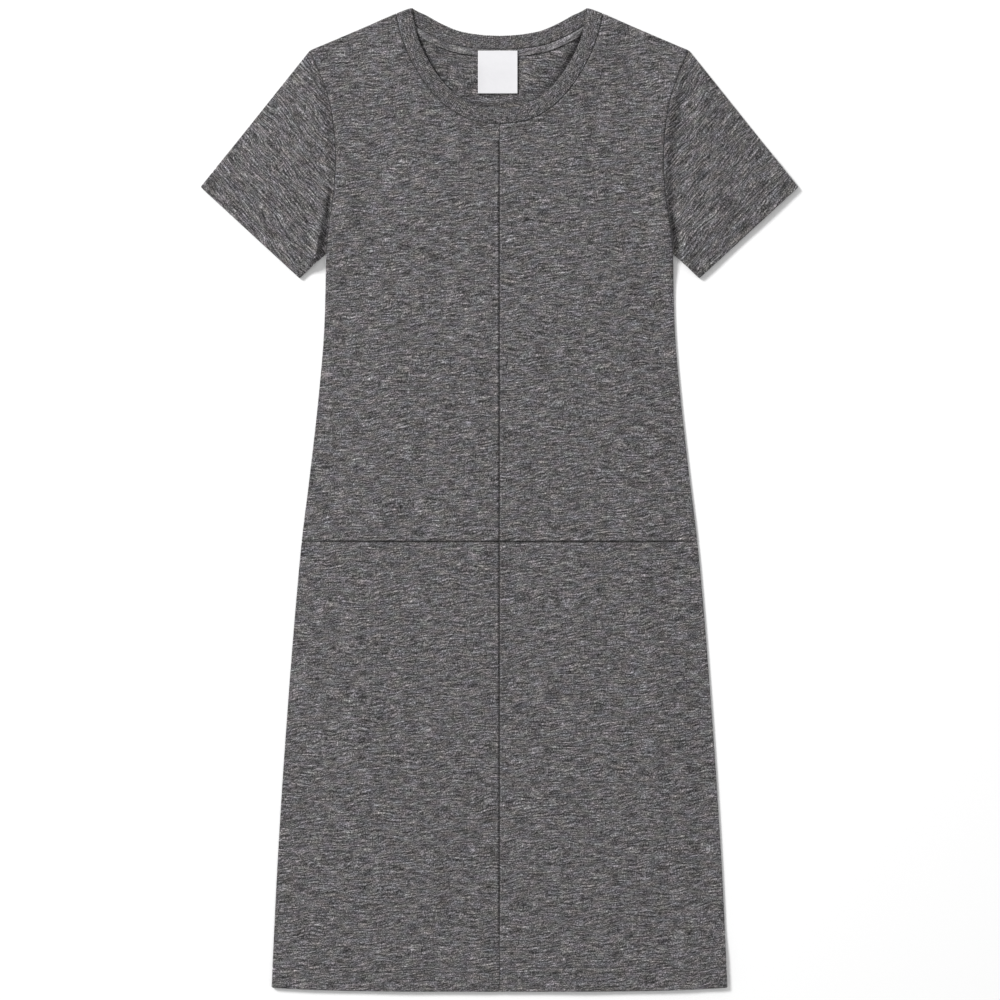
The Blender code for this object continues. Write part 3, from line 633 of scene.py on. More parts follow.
@dataclass(frozen=True)
class SleeveLie:
    """The height H of one flattened sleeve: a soft pillow that meets the body at the armhole, with a
    trough beside the seam and a pit at the underarm.

    Pairs are as in BodyLie.
    """

    side: Side
    loft: float = 3.0 * MM
    loft_edge: float = 26.0 * MM
    lofts_from_seam: tuple[Pair, Pair] = ((8.0 * MM, 50.0 * MM), (-14.0 * MM, 13.0 * MM))
    loft_from_cuff: Pair = (-8.0 * MM, 70.0 * MM)

    # A trough along the seam, and a rise at the cap
    troughs: Pair = (1.1 * MM, 1.4 * MM)
    trough_bells: tuple[Pair, Pair] = ((14.0 * MM, 7.0 * MM), (2.0 * MM, 6.5 * MM))
    cap_rises: Pair = (0.0, 2.6 * MM)
    cap_across_bell: Pair = (0.22, 0.17)
    cap_seam_bell: Pair = (15.0 * MM, 13.0 * MM)

    # A pit at the underarm, and a rise behind it
    pit: float = 10.0 * MM
    pit_across: Pair = (0.67, 0.83)
    pit_ends: Pair = (10.8 * MM, 5.2 * MM)
    pit_widths: Pair = (0.0, 3.4 * MM)
    pit_wider_across: Pair = (0.8, 0.95)
    pit_slopes: Pair = (5.5 * MM, 4.0 * MM)
    underarm_rises: Pair = (4.8 * MM, 7.8 * MM)
    underarm_bells: tuple[Pair, Pair] = ((20.5 * MM, 7.0 * MM), (14.5 * MM, 7.0 * MM))
    underarm_across_bell: Pair = (0.97, 0.2)

    # How the sleeve comes down from the body's height: from where, and over what distance
    met_starts: Pair = (4.0 * MM, 0.0)
    met_start_across: Pair = (0.15, 0.75)
    met_lengths: Pair = (14.0 * MM, 5.0 * MM)
    pit_met_lengths: Pair = (2.6 * MM, 0.9 * MM)

    swells: Swells = Swells(0.35 * MM, 23)
    swells_from_seam: Pair = (2.0 * MM, 25.0 * MM)
    creases: tuple[Crease, ...] = ()
    crease_edge: float = 0.3
    cuff_fade_less: float = 30.0 * MM
    cuff_fade_across: Pair = (0.55, 0.95)

    def height(self, track: Track, width: np.ndarray, met: np.ndarray) -> np.ndarray:
        """H over a sleeve.

        Args:
            track: places on the sleeve, for the wearer's left.
            width: the sleeve's width in each ring.
            met: the body's own H at the armhole, which the sleeve meets there.

        Returns:
            The flat height, plus a loft that fades towards the edges, the seam and the cuff, and
            rises at the cap and by the underarm, less the trough, the pit and the creases, plus two
            plies in the cuff. By the seam it eases from the body's height to this.
        """
        side, across, seam = self.side, track.across, track.seam
        x, y = track.point[..., 0] * side.value, track.point[..., 1]
        inside = ease(np.minimum(across, 1.0 - across) * width, 0.0, self.loft_edge)
        out_of_seam = ease(seam, *side.pick(self.lofts_from_seam))
        height = FLAT_HEIGHT + self.loft * inside * out_of_seam * ease(track.cuff, *self.loft_from_cuff)
        cap = bell(across, *self.cap_across_bell) * bell(seam, *self.cap_seam_bell)
        height = height + side.pick(self.cap_rises) * cap
        rise = bell(across, *self.underarm_across_bell) * bell(seam, *side.pick(self.underarm_bells))
        height = height + side.pick(self.underarm_rises) * rise
        height = height - side.pick(self.troughs) * bell(seam, *side.pick(self.trough_bells))
        by_arm = ease(across, *self.pit_across)
        pit_end = side.pick(self.pit_ends) + side.pick(self.pit_widths) * ease(across, *self.pit_wider_across)
        pit_edge = ease(seam, pit_end, pit_end + side.pick(self.pit_slopes))
        height = height - self.pit * by_arm * (1.0 - pit_edge)
        height = height + self.swells.at(x, y) * inside * ease(seam, *self.swells_from_seam)
        for crease in self.creases:
            height = height - crease.at(x, y) * inside**self.crease_edge
        height = np.maximum(height, LEAST_HEIGHT)
        fade = HEM_FADE - self.cuff_fade_less * ease(across, *self.cuff_fade_across)
        in_hem = 1.0 - ease(track.cuff, HEM_DEPTH, HEM_DEPTH + fade)
        height = height + (HEM_HEIGHT - FLAT_HEIGHT) * in_hem
        start = side.pick(self.met_starts) * (1.0 - ease(across, *self.met_start_across))
        length = blend(side.pick(self.met_lengths), side.pick(self.pit_met_lengths), by_arm)
        return blend(met, height, ease(seam, start, start + length))


# ---------------------------------------------------------------------------------------------------
# Meshes


@dataclass(frozen=True)
class Skin:
    """One face of a wall of cloth: points on a grid, and their places along and up the cloth's grain."""

    points: np.ndarray
    grain: np.ndarray


def lattice(rows: int, columns: int) -> np.ndarray:
    """The corners of each cell of a grid of rows by columns points, as (cell, corner, row and column)."""
    r, c = np.meshgrid(np.arange(rows - 1), np.arange(columns - 1), indexing="ij")
    steps = ((0, 0), (0, 1), (1, 1), (1, 0))
    return np.stack([np.stack([r + a, c + b], axis=-1) for a, b in steps], axis=2).reshape(-1, 4, 2)


def border(rows: int, columns: int, closed: bool) -> np.ndarray:
    """The grid's open edges, each as two (row, column) ends, in the order that a rim cell takes them."""
    c = np.arange(columns - 1)
    r = np.arange(rows - 1)
    low, high = np.zeros_like(c), np.full_like(c, rows - 1)
    edges = [
        np.stack([np.stack([low, c + 1], -1), np.stack([low, c], -1)], 1),
        np.stack([np.stack([high, c], -1), np.stack([high, c + 1], -1)], 1),
    ]
    if not closed:
        near, far = np.zeros_like(r), np.full_like(r, columns - 1)
        edges.append(np.stack([np.stack([r, near], -1), np.stack([r + 1, near], -1)], 1))
        edges.append(np.stack([np.stack([r + 1, far], -1), np.stack([r, far], -1)], 1))
    return np.concatenate(edges)


def signed_volume(points: np.ndarray, faces: np.ndarray) -> float:
    """Six times the volume inside the faces, below zero where they point inwards."""
    a, b, c, d = (points[faces[:, k]] for k in range(4))
    return float((a * np.cross(b, c)).sum() + (a * np.cross(c, d)).sum())


def make_object(name: str, points: np.ndarray, faces: np.ndarray, grain: np.ndarray) -> bpy.types.Object:
    """Puts a mesh into the scene.

    Args:
        name: the piece's name.
        points: rows of x, y, z.
        faces: rows of four point numbers.
        grain: for each face's four corners, the place in the cloth's grain.

    Returns:
        The piece, shaded smooth except at sharp edges, with its faces outwards and a Grain UV map.
    """
    if signed_volume(points, faces) < 0.0:
        faces, grain = faces[:, ::-1], grain[:, ::-1]
    mesh = bpy.data.meshes.new(name)
    mesh.from_pydata(points.tolist(), [], faces.tolist())
    layer = mesh.uv_layers.new(name="Grain")
    layer.data.foreach_set("uv", np.ascontiguousarray(grain, dtype=np.float32).ravel())
    mesh.shade_smooth()
    mesh.set_sharp_from_angle(angle=SHARP_ANGLE)
    mesh.update()
    piece = bpy.data.objects.new(name, mesh)
    bpy.context.scene.collection.objects.link(piece)
    return piece


def make_wall(
    name: str, outer: Skin, inner: Skin, closed: bool = False, two_sided: bool = False
) -> bpy.types.Object:
    """A wall of cloth between two skins, with its rims.

    Args:
        name: the piece's name.
        outer: its outer skin.
        inner: its inner skin, on a grid of the same size.
        closed: whether the columns run all the way round. The grain then has one more column.
        two_sided: whether the inner skin takes a second material, the cloth's wrong side, whose darker colour
            also paints shade inside the neck.

    Returns:
        The piece, one closed surface.
    """
    rows, columns = outer.points.shape[:2]
    wide = outer.grain.shape[1]
    cells = lattice(rows, wide)
    edge = border(rows, wide, closed)
    layer_of = np.concatenate(
        [
            np.zeros((len(cells), 4), int),
            np.ones((len(cells), 4), int),
            np.tile([0, 0, 1, 1], (len(edge), 1)),
        ]
    )
    corners = np.concatenate([cells, cells[:, ::-1], np.concatenate([edge, edge[:, ::-1]], axis=1)])
    r, c = corners[..., 0], corners[..., 1]
    faces = (layer_of * rows + r) * columns + c % columns
    grain = np.stack([outer.grain, inner.grain])[layer_of, r, c]
    points = np.stack([outer.points, inner.points]).reshape(-1, 3)
    piece = make_object(name, points, faces, grain)
    if two_sided:
        piece.data.polygons.foreach_set("material_index", (layer_of.sum(axis=1) == 4).astype(np.int32))
    return piece


def make_ring(name: str, skin: Skin) -> bpy.types.Object:
    """A closed surface on a grid that wraps both ways. Its grain has one more row and column."""
    rows, columns = skin.points.shape[:2]
    corners = lattice(rows + 1, columns + 1)
    r, c = corners[..., 0], corners[..., 1]
    faces = (r % rows) * columns + c % columns
    return make_object(name, skin.points.reshape(-1, 3), faces, skin.grain[r, c])


# ---------------------------------------------------------------------------------------------------
# Finishes


NOISE_ROUGHNESS = 0.6


class Weaver:
    """Nodes of one material, added and joined one at a time."""

    def __init__(self, name: str) -> None:
        """Starts a material of this name with only its shader."""
        self.material = bpy.data.materials.new(name)
        self.material.use_nodes = True
        self.tree = self.material.node_tree
        self.shader = self.tree.nodes["Principled BSDF"]

    def put(self, socket: bpy.types.NodeSocket, value: object) -> None:
        """Joins a socket to another, or sets it to a plain value."""
        if isinstance(value, bpy.types.NodeSocket):
            self.tree.links.new(value, socket)
        else:
            socket.default_value = value

    def grain(self) -> bpy.types.NodeSocket:
        """The piece's own Grain UV map, in metres."""
        node = self.tree.nodes.new("ShaderNodeUVMap")
        node.uv_map = "Grain"
        return node.outputs["UV"]

    def vector(self, operation: str, *values: object, scale: object = None) -> bpy.types.NodeSocket:
        """A step of vector arithmetic."""
        node = self.tree.nodes.new("ShaderNodeVectorMath")
        node.operation = operation
        for socket, value in zip(node.inputs, values):
            self.put(socket, value)
        if scale is not None:
            self.put(node.inputs["Scale"], scale)
        return node.outputs["Vector"]

    def number(self, operation: str, *values: object) -> bpy.types.NodeSocket:
        """A step of arithmetic on numbers."""
        node = self.tree.nodes.new("ShaderNodeMath")
        node.operation = operation
        for socket, value in zip(node.inputs, values):
            self.put(socket, value)
        return node.outputs["Value"]

    def wave(self, along: object, length: float, operation: str = "SINE") -> bpy.types.NodeSocket:
        """A wave of this length, in metres, along a number."""
        return self.number(operation, self.number("MULTIPLY", along, 2 * pi / length))

    def noise(self, place: object, size: Pair, detail: float = 0.0) -> bpy.types.Node:
        """Soft noise whose blots are about size long and high, in metres."""
        node = self.tree.nodes.new("ShaderNodeTexNoise")
        node.noise_dimensions = "2D"
        spread = self.vector("MULTIPLY", place, (1.0 / size[0], 1.0 / size[1], 1.0))
        self.put(node.inputs["Vector"], spread)
        node.inputs["Scale"].default_value = 1.0
        node.inputs["Detail"].default_value = detail
        node.inputs["Roughness"].default_value = NOISE_ROUGHNESS
        return node

    def drift(self, place: object, size: Pair, reach: Pair, detail: float = 0.0) -> bpy.types.NodeSocket:
        """A shift by noise of this size, up to half of reach to either side of zero."""
        noise = self.noise(place, size, detail).outputs["Color"]
        return self.vector("MULTIPLY_ADD", noise, (*reach, 0.0), (-0.5 * reach[0], -0.5 * reach[1], 0.0))

    def parts(self, vector: bpy.types.NodeSocket) -> tuple[bpy.types.NodeSocket, bpy.types.NodeSocket]:
        """The first two parts of a vector."""
        node = self.tree.nodes.new("ShaderNodeSeparateXYZ")
        self.put(node.inputs[0], vector)
        return node.outputs["X"], node.outputs["Y"]

    def joined(self, first: object, second: object) -> bpy.types.NodeSocket:
        """A vector of two numbers."""
        node = self.tree.nodes.new("ShaderNodeCombineXYZ")
        self.put(node.inputs["X"], first)
        self.put(node.inputs["Y"], second)
        return node.outputs["Vector"]

    def paint(self, colour: bpy.types.NodeSocket, settings: dict[str, float]) -> None:
        """Joins the shader's base colour, and sets others of its inputs by name."""
        self.put(self.shader.inputs["Base Color"], colour)
        for name, value in settings.items():
            self.shader.inputs[name].default_value = value

    def bump(self, height: object, distance: float, strength: float) -> None:
        """Gives the shader's normal a bump of this height."""
        node = self.tree.nodes.new("ShaderNodeBump")
        node.inputs["Strength"].default_value = strength
        node.inputs["Distance"].default_value = distance
        self.put(node.inputs["Height"], height)
        self.put(self.shader.inputs["Normal"], node.outputs["Normal"])

    def dress(self, piece: bpy.types.Object) -> None:
        """Adds the material to a piece, after any it has."""
        piece.data.materials.append(self.material)


@dataclass(frozen=True)
class Blots:
    """One size of unevenness in marl yarn: how long and high its blots are, how strongly they show, and
    how far they lean from the grain, as rise over run."""

    length: float
    height: float
    share: float
    lean: float = 0.0


LONG_SLUB = Blots(19.0 * MM, 1.5 * MM, 2.1, 0.1)


@dataclass(frozen=True)
class MarlKnit:
    """Jersey or rib knitted from marl yarn: light and dark fibres in flecks that run with the grain.

    The blots are the unevenness of the yarn, from the longest to the finest, and a slow patchiness.
    slant, loops, fuzz and relief shape the bump: how far a loop's legs lean, how strongly the loops
    and the fibres show against the columns, and how high it all stands.
    """

    name: str
    colour: Colour = (0.0995, 0.0951, 0.0978)
    contrast: float = 1.0
    roughness: float = 0.92
    sheen: float = 0.12
    sheen_roughness: float = 0.5
    gloss: float = 0.25
    slub: Blots = Blots(16.0 * MM, 1.5 * MM, 1.8, 0.07)
    streak: Blots = Blots(7.5 * MM, 1.35 * MM, 1.5, 0.13)
    fleck: Blots = Blots(3.4 * MM, 1.2 * MM, 1.6, 0.18)
    fibre: Blots = Blots(1.3 * MM, 0.95 * MM, 2.9, -0.1)
    patch: Blots = Blots(40.0 * MM, 5.5 * MM, 0.36, 0.06)
    waver: Pair = (7.0 * MM, 10.0 * MM)
    waver_size: Pair = (48.0 * MM, 30.0 * MM)
    ripple: float = 1.6 * MM
    ripple_size: Pair = (14.0 * MM, 13.0 * MM)
    softness: float = 5.0
    tint: Colour = (0.12, 0.06, 0.15)
    tint_size: Pair = (14.0 * MM, 9.0 * MM)
    wale: float = 1.3 * MM
    course: float = 0.95 * MM
    slant: float = 1.1
    loops: float = 0.25
    fuzz: float = 1.4
    relief: float = 0.12 * MM
    relief_strength: float = 0.5
    rib: float = 2.05 * MM
    # Shade painted into the furrows between ribs, and the size of its patches
    rib_shade: float = 0.0
    rib_shade_size: Pair = (26.0 * MM, 9.0 * MM)

    def material(self) -> Weaver:
        """The finish.

        Returns:
            Its nodes. The grain wavers by slow noise and ripples by a quicker one. Noises of several
            sizes, from long slubs to fibres, are added, and the colour is multiplied by a power of one
            plus their sum. Slow noise tints it. The bump is the knit's columns of V stitches, with the
            fibres on top. In a rib knit, shade is painted into the colour of the furrows between its ribs.
        """
        w = Weaver(self.name)
        grain = w.grain()
        shift = w.drift(grain, self.waver_size, self.waver, 1.0)
        ripple = w.drift(grain, self.ripple_size, (0.0, self.ripple))
        place = w.vector("ADD", grain, w.vector("ADD", shift, ripple))
        along, across = w.parts(place)
        total = None
        fibres = None
        for blots in (self.slub, self.streak, self.fleck, self.fibre, self.patch):
            leant = w.number("MULTIPLY_ADD", along, -blots.lean, across)
            value = w.noise(w.joined(along, leant), (blots.length, blots.height)).outputs["Fac"]
            fibres = value if blots is self.fibre else fibres
            share = blots.share * self.contrast
            term = w.number("MULTIPLY_ADD", value, share, -0.5 * share)
            total = term if total is None else w.number("ADD", total, term)
        # Painted shade: darker colour in the furrows between the ribs
        if self.rib_shade:
            run, _ = w.parts(grain)
            ridge = w.wave(run, self.rib, "COSINE")
            patchy = w.noise(grain, self.rib_shade_size).outputs["Fac"]
            total = w.number("MULTIPLY_ADD", w.number("MULTIPLY", ridge, patchy), 2.0 * self.rib_shade, total)
        strength = w.number("MULTIPLY_ADD", total, 1.0 / self.softness, 1.0)
        strength = w.number("POWER", w.number("MAXIMUM", strength, 0.0), self.softness)
        tints = w.noise(place, self.tint_size).outputs["Color"]
        tints = w.vector("MULTIPLY_ADD", tints, self.tint, tuple(1.0 - part / 2 for part in self.tint))
        tinted = w.vector("MULTIPLY", tints, self.colour)
        settings = {
            "Roughness": self.roughness,
            "Sheen Weight": self.sheen,
            "Sheen Roughness": self.sheen_roughness,
            "Specular IOR Level": self.gloss,
        }
        w.paint(w.vector("SCALE", tinted, scale=strength), settings)
        leg = w.number("PINGPONG", along, self.wale / 2)
        loops = w.wave(w.number("MULTIPLY_ADD", leg, self.slant, across), self.course)
        knit = w.number("MULTIPLY_ADD", loops, self.loops, w.wave(leg, self.wale))
        w.bump(w.number("MULTIPLY_ADD", fibres, self.fuzz, knit), self.relief, self.relief_strength)
        return w


@dataclass(frozen=True)
class Satin:
    """A label's close white satin, with fine threads across it."""

    name: str
    colour: Colour = (0.75, 0.745, 0.765)
    roughness: float = 0.55
    sheen: float = 0.1
    thread: float = 0.5 * MM
    thread_share: float = 0.008
    twill: float = 0.9 * MM
    twill_share: float = 0.5
    cloud: float = 0.05
    cloud_size: Pair = (7.0 * MM, 5.0 * MM)
    relief: float = 0.05 * MM
    relief_strength: float = 0.4

    def material(self) -> Weaver:
        """The finish: threads are fine waves along the grain, and slow noise clouds the white a little."""
        w = Weaver(self.name)
        grain = w.grain()
        across, up = w.parts(grain)
        threads = w.wave(up, self.thread)
        twill = w.wave(w.number("ADD", across, up), self.twill)
        cloud = w.noise(grain, self.cloud_size, 2.0).outputs["Fac"]
        shade = w.number("MULTIPLY_ADD", cloud, self.cloud, 1.0 - self.cloud / 2)
        shade = w.number("MULTIPLY_ADD", threads, self.thread_share, shade)
        settings = {"Roughness": self.roughness, "Sheen Weight": self.sheen}
        w.paint(w.vector("SCALE", self.colour, scale=shade), settings)
        height = w.number("MULTIPLY_ADD", twill, self.twill_share, threads)
        w.bump(height, self.relief, self.relief_strength)
        return w


@dataclass(frozen=True)
class Thread:
    """Sewing thread, twisted from fine plies."""

    name: str
    colour: Colour = (0.075, 0.072, 0.074)
    roughness: float = 0.7
    twist: float = 0.5 * MM
    twist_shade: float = 0.12
    relief: float = 0.05 * MM
    relief_strength: float = 0.5

    def material(self) -> Weaver:
        """The finish: slanting waves along the grain are its plies, with shade painted darker between them.
        """
        w = Weaver(self.name)
        across, up = w.parts(w.grain())
        twist = w.wave(w.number("ADD", across, up), self.twist)
        # Painted shade: darker between the plies
        shade = w.number("MULTIPLY_ADD", twist, self.twist_shade, 1.0)
        w.paint(w.vector("SCALE", self.colour, scale=shade), {"Roughness": self.roughness})
        w.bump(twist, self.relief, self.relief_strength)
        return w


@dataclass(frozen=True)
class Paper:
    """The pale, plain paper of the floor."""

    name: str
    colour: Colour = (0.975, 0.975, 0.975)
    roughness: float = 0.9
    cloud: float = 0.01
    cloud_size: Pair = (0.5, 0.5)

    def material(self) -> Weaver:
        """The finish: a matt white that slow noise varies a little."""
        w = Weaver(self.name)
        coordinates = w.tree.nodes.new("ShaderNodeTexCoord").outputs["Object"]
        cloud = w.noise(coordinates, self.cloud_size, 1.0).outputs["Fac"]
        shade = w.number("MULTIPLY_ADD", cloud, self.cloud, 1.0 - self.cloud / 2)
        w.paint(w.vector("SCALE", self.colour, scale=shade), {"Roughness": self.roughness})
        return w


# ---------------------------------------------------------------------------------------------------
# Sewing

BEAD_RINGS = np.array([-1.0, -0.93, -0.55, 0.0, 0.55, 0.93, 1.0])
BEAD_GIRTHS = np.array([0.02, 0.5, 0.95, 1.0, 0.95, 0.5, 0.02])
BEAD_FLATNESS = 0.7
THREAD_LEAN = np.array([0.5, 0.7])


@dataclass(frozen=True)
class StitchRow:
    """A row of stitches on a line: each shows as a short bead of thread with a gap to the next."""

    pitch: float = 3.0 * MM
    length: float = 2.2 * MM
    radius: float = 0.17 * MM
    sides: int = 6

    def beads(self, line: np.ndarray, up: float = 1.0) -> np.ndarray:
        """The stitches' points.

        Args:
            line: rows of x, y, z along the row.
            up: which way the row is seen from, 1 above and -1 below.

        Returns:
            Points as (stitch, ring, place round it, 3). A bead is a tube whose radius follows a half
            wave along it, from a point at one end to a point at the other, and flattened to the cloth.
        """
        steps = np.linalg.norm(np.diff(line, axis=0), axis=1)
        run = np.concatenate([[0.0], np.cumsum(steps)])
        count = max(int(run[-1] / self.pitch), 1)
        middle = (np.arange(count) + 0.5) * run[-1] / count
        at = middle[:, None] + BEAD_RINGS * self.length / 2
        centre = np.stack([np.interp(at, run, line[:, k]) for k in range(3)], axis=-1)
        ahead = centre[:, -1] - centre[:, 0]
        ahead = ahead / np.linalg.norm(ahead, axis=1)[:, None]
        aside = np.stack([-ahead[:, 1], ahead[:, 0], np.zeros(count)], axis=-1)
        aside = aside / np.linalg.norm(aside, axis=1)[:, None]
        over = np.array([0.0, 0.0, up])
        turn = np.linspace(0.0, 2 * pi, self.sides, endpoint=False)[:, None]
        ring = np.cos(turn) * aside[:, None, None, :] + BEAD_FLATNESS * np.sin(turn) * over
        return centre[:, :, None, :] + (self.radius * BEAD_GIRTHS)[:, None, None] * ring


HEM_ROW = StitchRow()
HEM_ROW_PROUD = 0.06 * MM
# Seam thread: near black, so that it paints the shade in the seams' grooves
SEAM_ROW = StitchRow(3.0 * MM, 2.8 * MM, 0.32 * MM)
SEAM_SUNK = 0.6 * MM
TAPE_ROW = StitchRow(2.6 * MM, 2.0 * MM, 0.22 * MM)


def sew(name: str, groups: list[np.ndarray], thread: Weaver) -> bpy.types.Object:
    """All the stitches of one kind on one piece of cloth, as one piece.

    Args:
        name: the piece's name.
        groups: bead points, as StitchRow.beads gives them.
        thread: the thread's finish.

    Returns:
        The piece. Each bead is a tube with a cap at each end.
    """
    beads = np.concatenate(groups)
    count, rings, sides = beads.shape[:3]
    cells = lattice(rings, sides + 1)
    r, c = cells[..., 0], cells[..., 1]
    tube = r * sides + c % sides
    around = np.arange(0, sides - 2, 2)
    cap = np.stack([np.zeros_like(around), around + 3, around + 2, around + 1], axis=-1) % sides
    one = np.concatenate([tube, cap, cap[:, ::-1] + (rings - 1) * sides])
    faces = (one[None] + np.arange(count)[:, None, None] * rings * sides).reshape(-1, 4)
    points = beads.reshape(-1, 3)
    grain = points[faces][..., :2] + points[faces][..., 2:] * THREAD_LEAN
    piece = make_object(name, points, faces, grain)
    thread.dress(piece)
    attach(piece, "root")
    return piece


@dataclass(frozen=True)
class Sheet:
    """How a piece of cloth was cut flat, and the names of the pieces that it lies on."""

    flat: Pair
    area: float | None = None
    rests_on: tuple[str, ...] = ()


def lay(
    piece: bpy.types.Object,
    node: str,
    slot: Slot,
    finishes: tuple[Weaver, ...],
    sheet: Sheet,
) -> None:
    """Dresses a piece of cloth with its finishes, hangs it on the root, hides the CAD node that it replaces,
    and logs its count of faces.

    Args:
        piece: the cloth.
        node: the CAD node that it replaces.
        slot: not used.
        finishes: its finishes, the outer one first.
        sheet: its cut.
    """
    for finish in finishes:
        finish.dress(piece)
    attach(piece, "root")
    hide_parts(node)
    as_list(sheet.rests_on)
    log.info("%s: %d faces", piece.name, len(piece.data.polygons))


# ---------------------------------------------------------------------------------------------------
# The body's panels

# Columns and rows: distances from a seam, insets from the side, and angles round the side
SEAM_STEPS = np.array([0.0, 0.05, 0.13, 0.26, 0.42, 0.62, 0.85, 1.15, 1.5, 1.9, 2.3, 2.8, 3.5, 4.5, 6.0]) * MM
SEAM_ZONE = 8.0 * MM
FIELD_STEP = 4.2 * MM
NECK_STEP = 3.4 * MM
SHOULDER_COLUMNS = 17
EDGE_INSETS = np.array([22.0, 18.5, 15.2, 12.2, 9.6, 7.4, 5.6, 4.2, 3.3, 2.6]) * MM
EDGE_CLEAR = 0.1 * MM
ROUND_ANGLES = np.radians([90.0, 80.0, 70.0, 61.0, 53.0, 45.0, 38.0, 31.0, 24.0, 17.0, 11.0, 5.0, 0.0])

# The bodice: how far under the underarm its side is sewn, its last level rows, and its fan of rows
SIDE_ENDS = (5.0 * MM, 1.0 * MM)
UNDERARM_ROWS = (6.0 * MM, 5.5 * MM)
FAN = np.concatenate([[0.008, 0.018], np.linspace(0.035, 0.98, 40)])

# Hems: two pressed stitch lines, a fold, and the part that is turned up. The rows' steps are in mm
HEM_LINES = (24.3 * MM, 19.0 * MM)
HEM_LINE_DEPTH = 0.62 * MM
HEM_LINE_WIDTH = 0.85 * MM
HEM_LINE_STEP = 0.42
HEM_FIELD_ENDS = 27.5 * MM
HEM_ROWS = (*np.arange(26.8, 12.5, -HEM_LINE_STEP), 11.0, 9.0, 7.0, 5.2, 3.8, 2.6, 1.8)
HEM_TURNED_UP = np.array([2.2, 4.0, 7.0, 11.0, 15.0, 19.0, 22.0, 23.3, 23.8, 24.0]) * MM
FOLD_TURN = np.linspace(0.0, pi, 13)
FOLD_PART = 0.9

# The hem twists at the wearer's right: its stitch lines run nearer the edge there
TWIST = 4.3 * MM
TWIST_FROM_X = (140.0 * MM, 205.0 * MM)


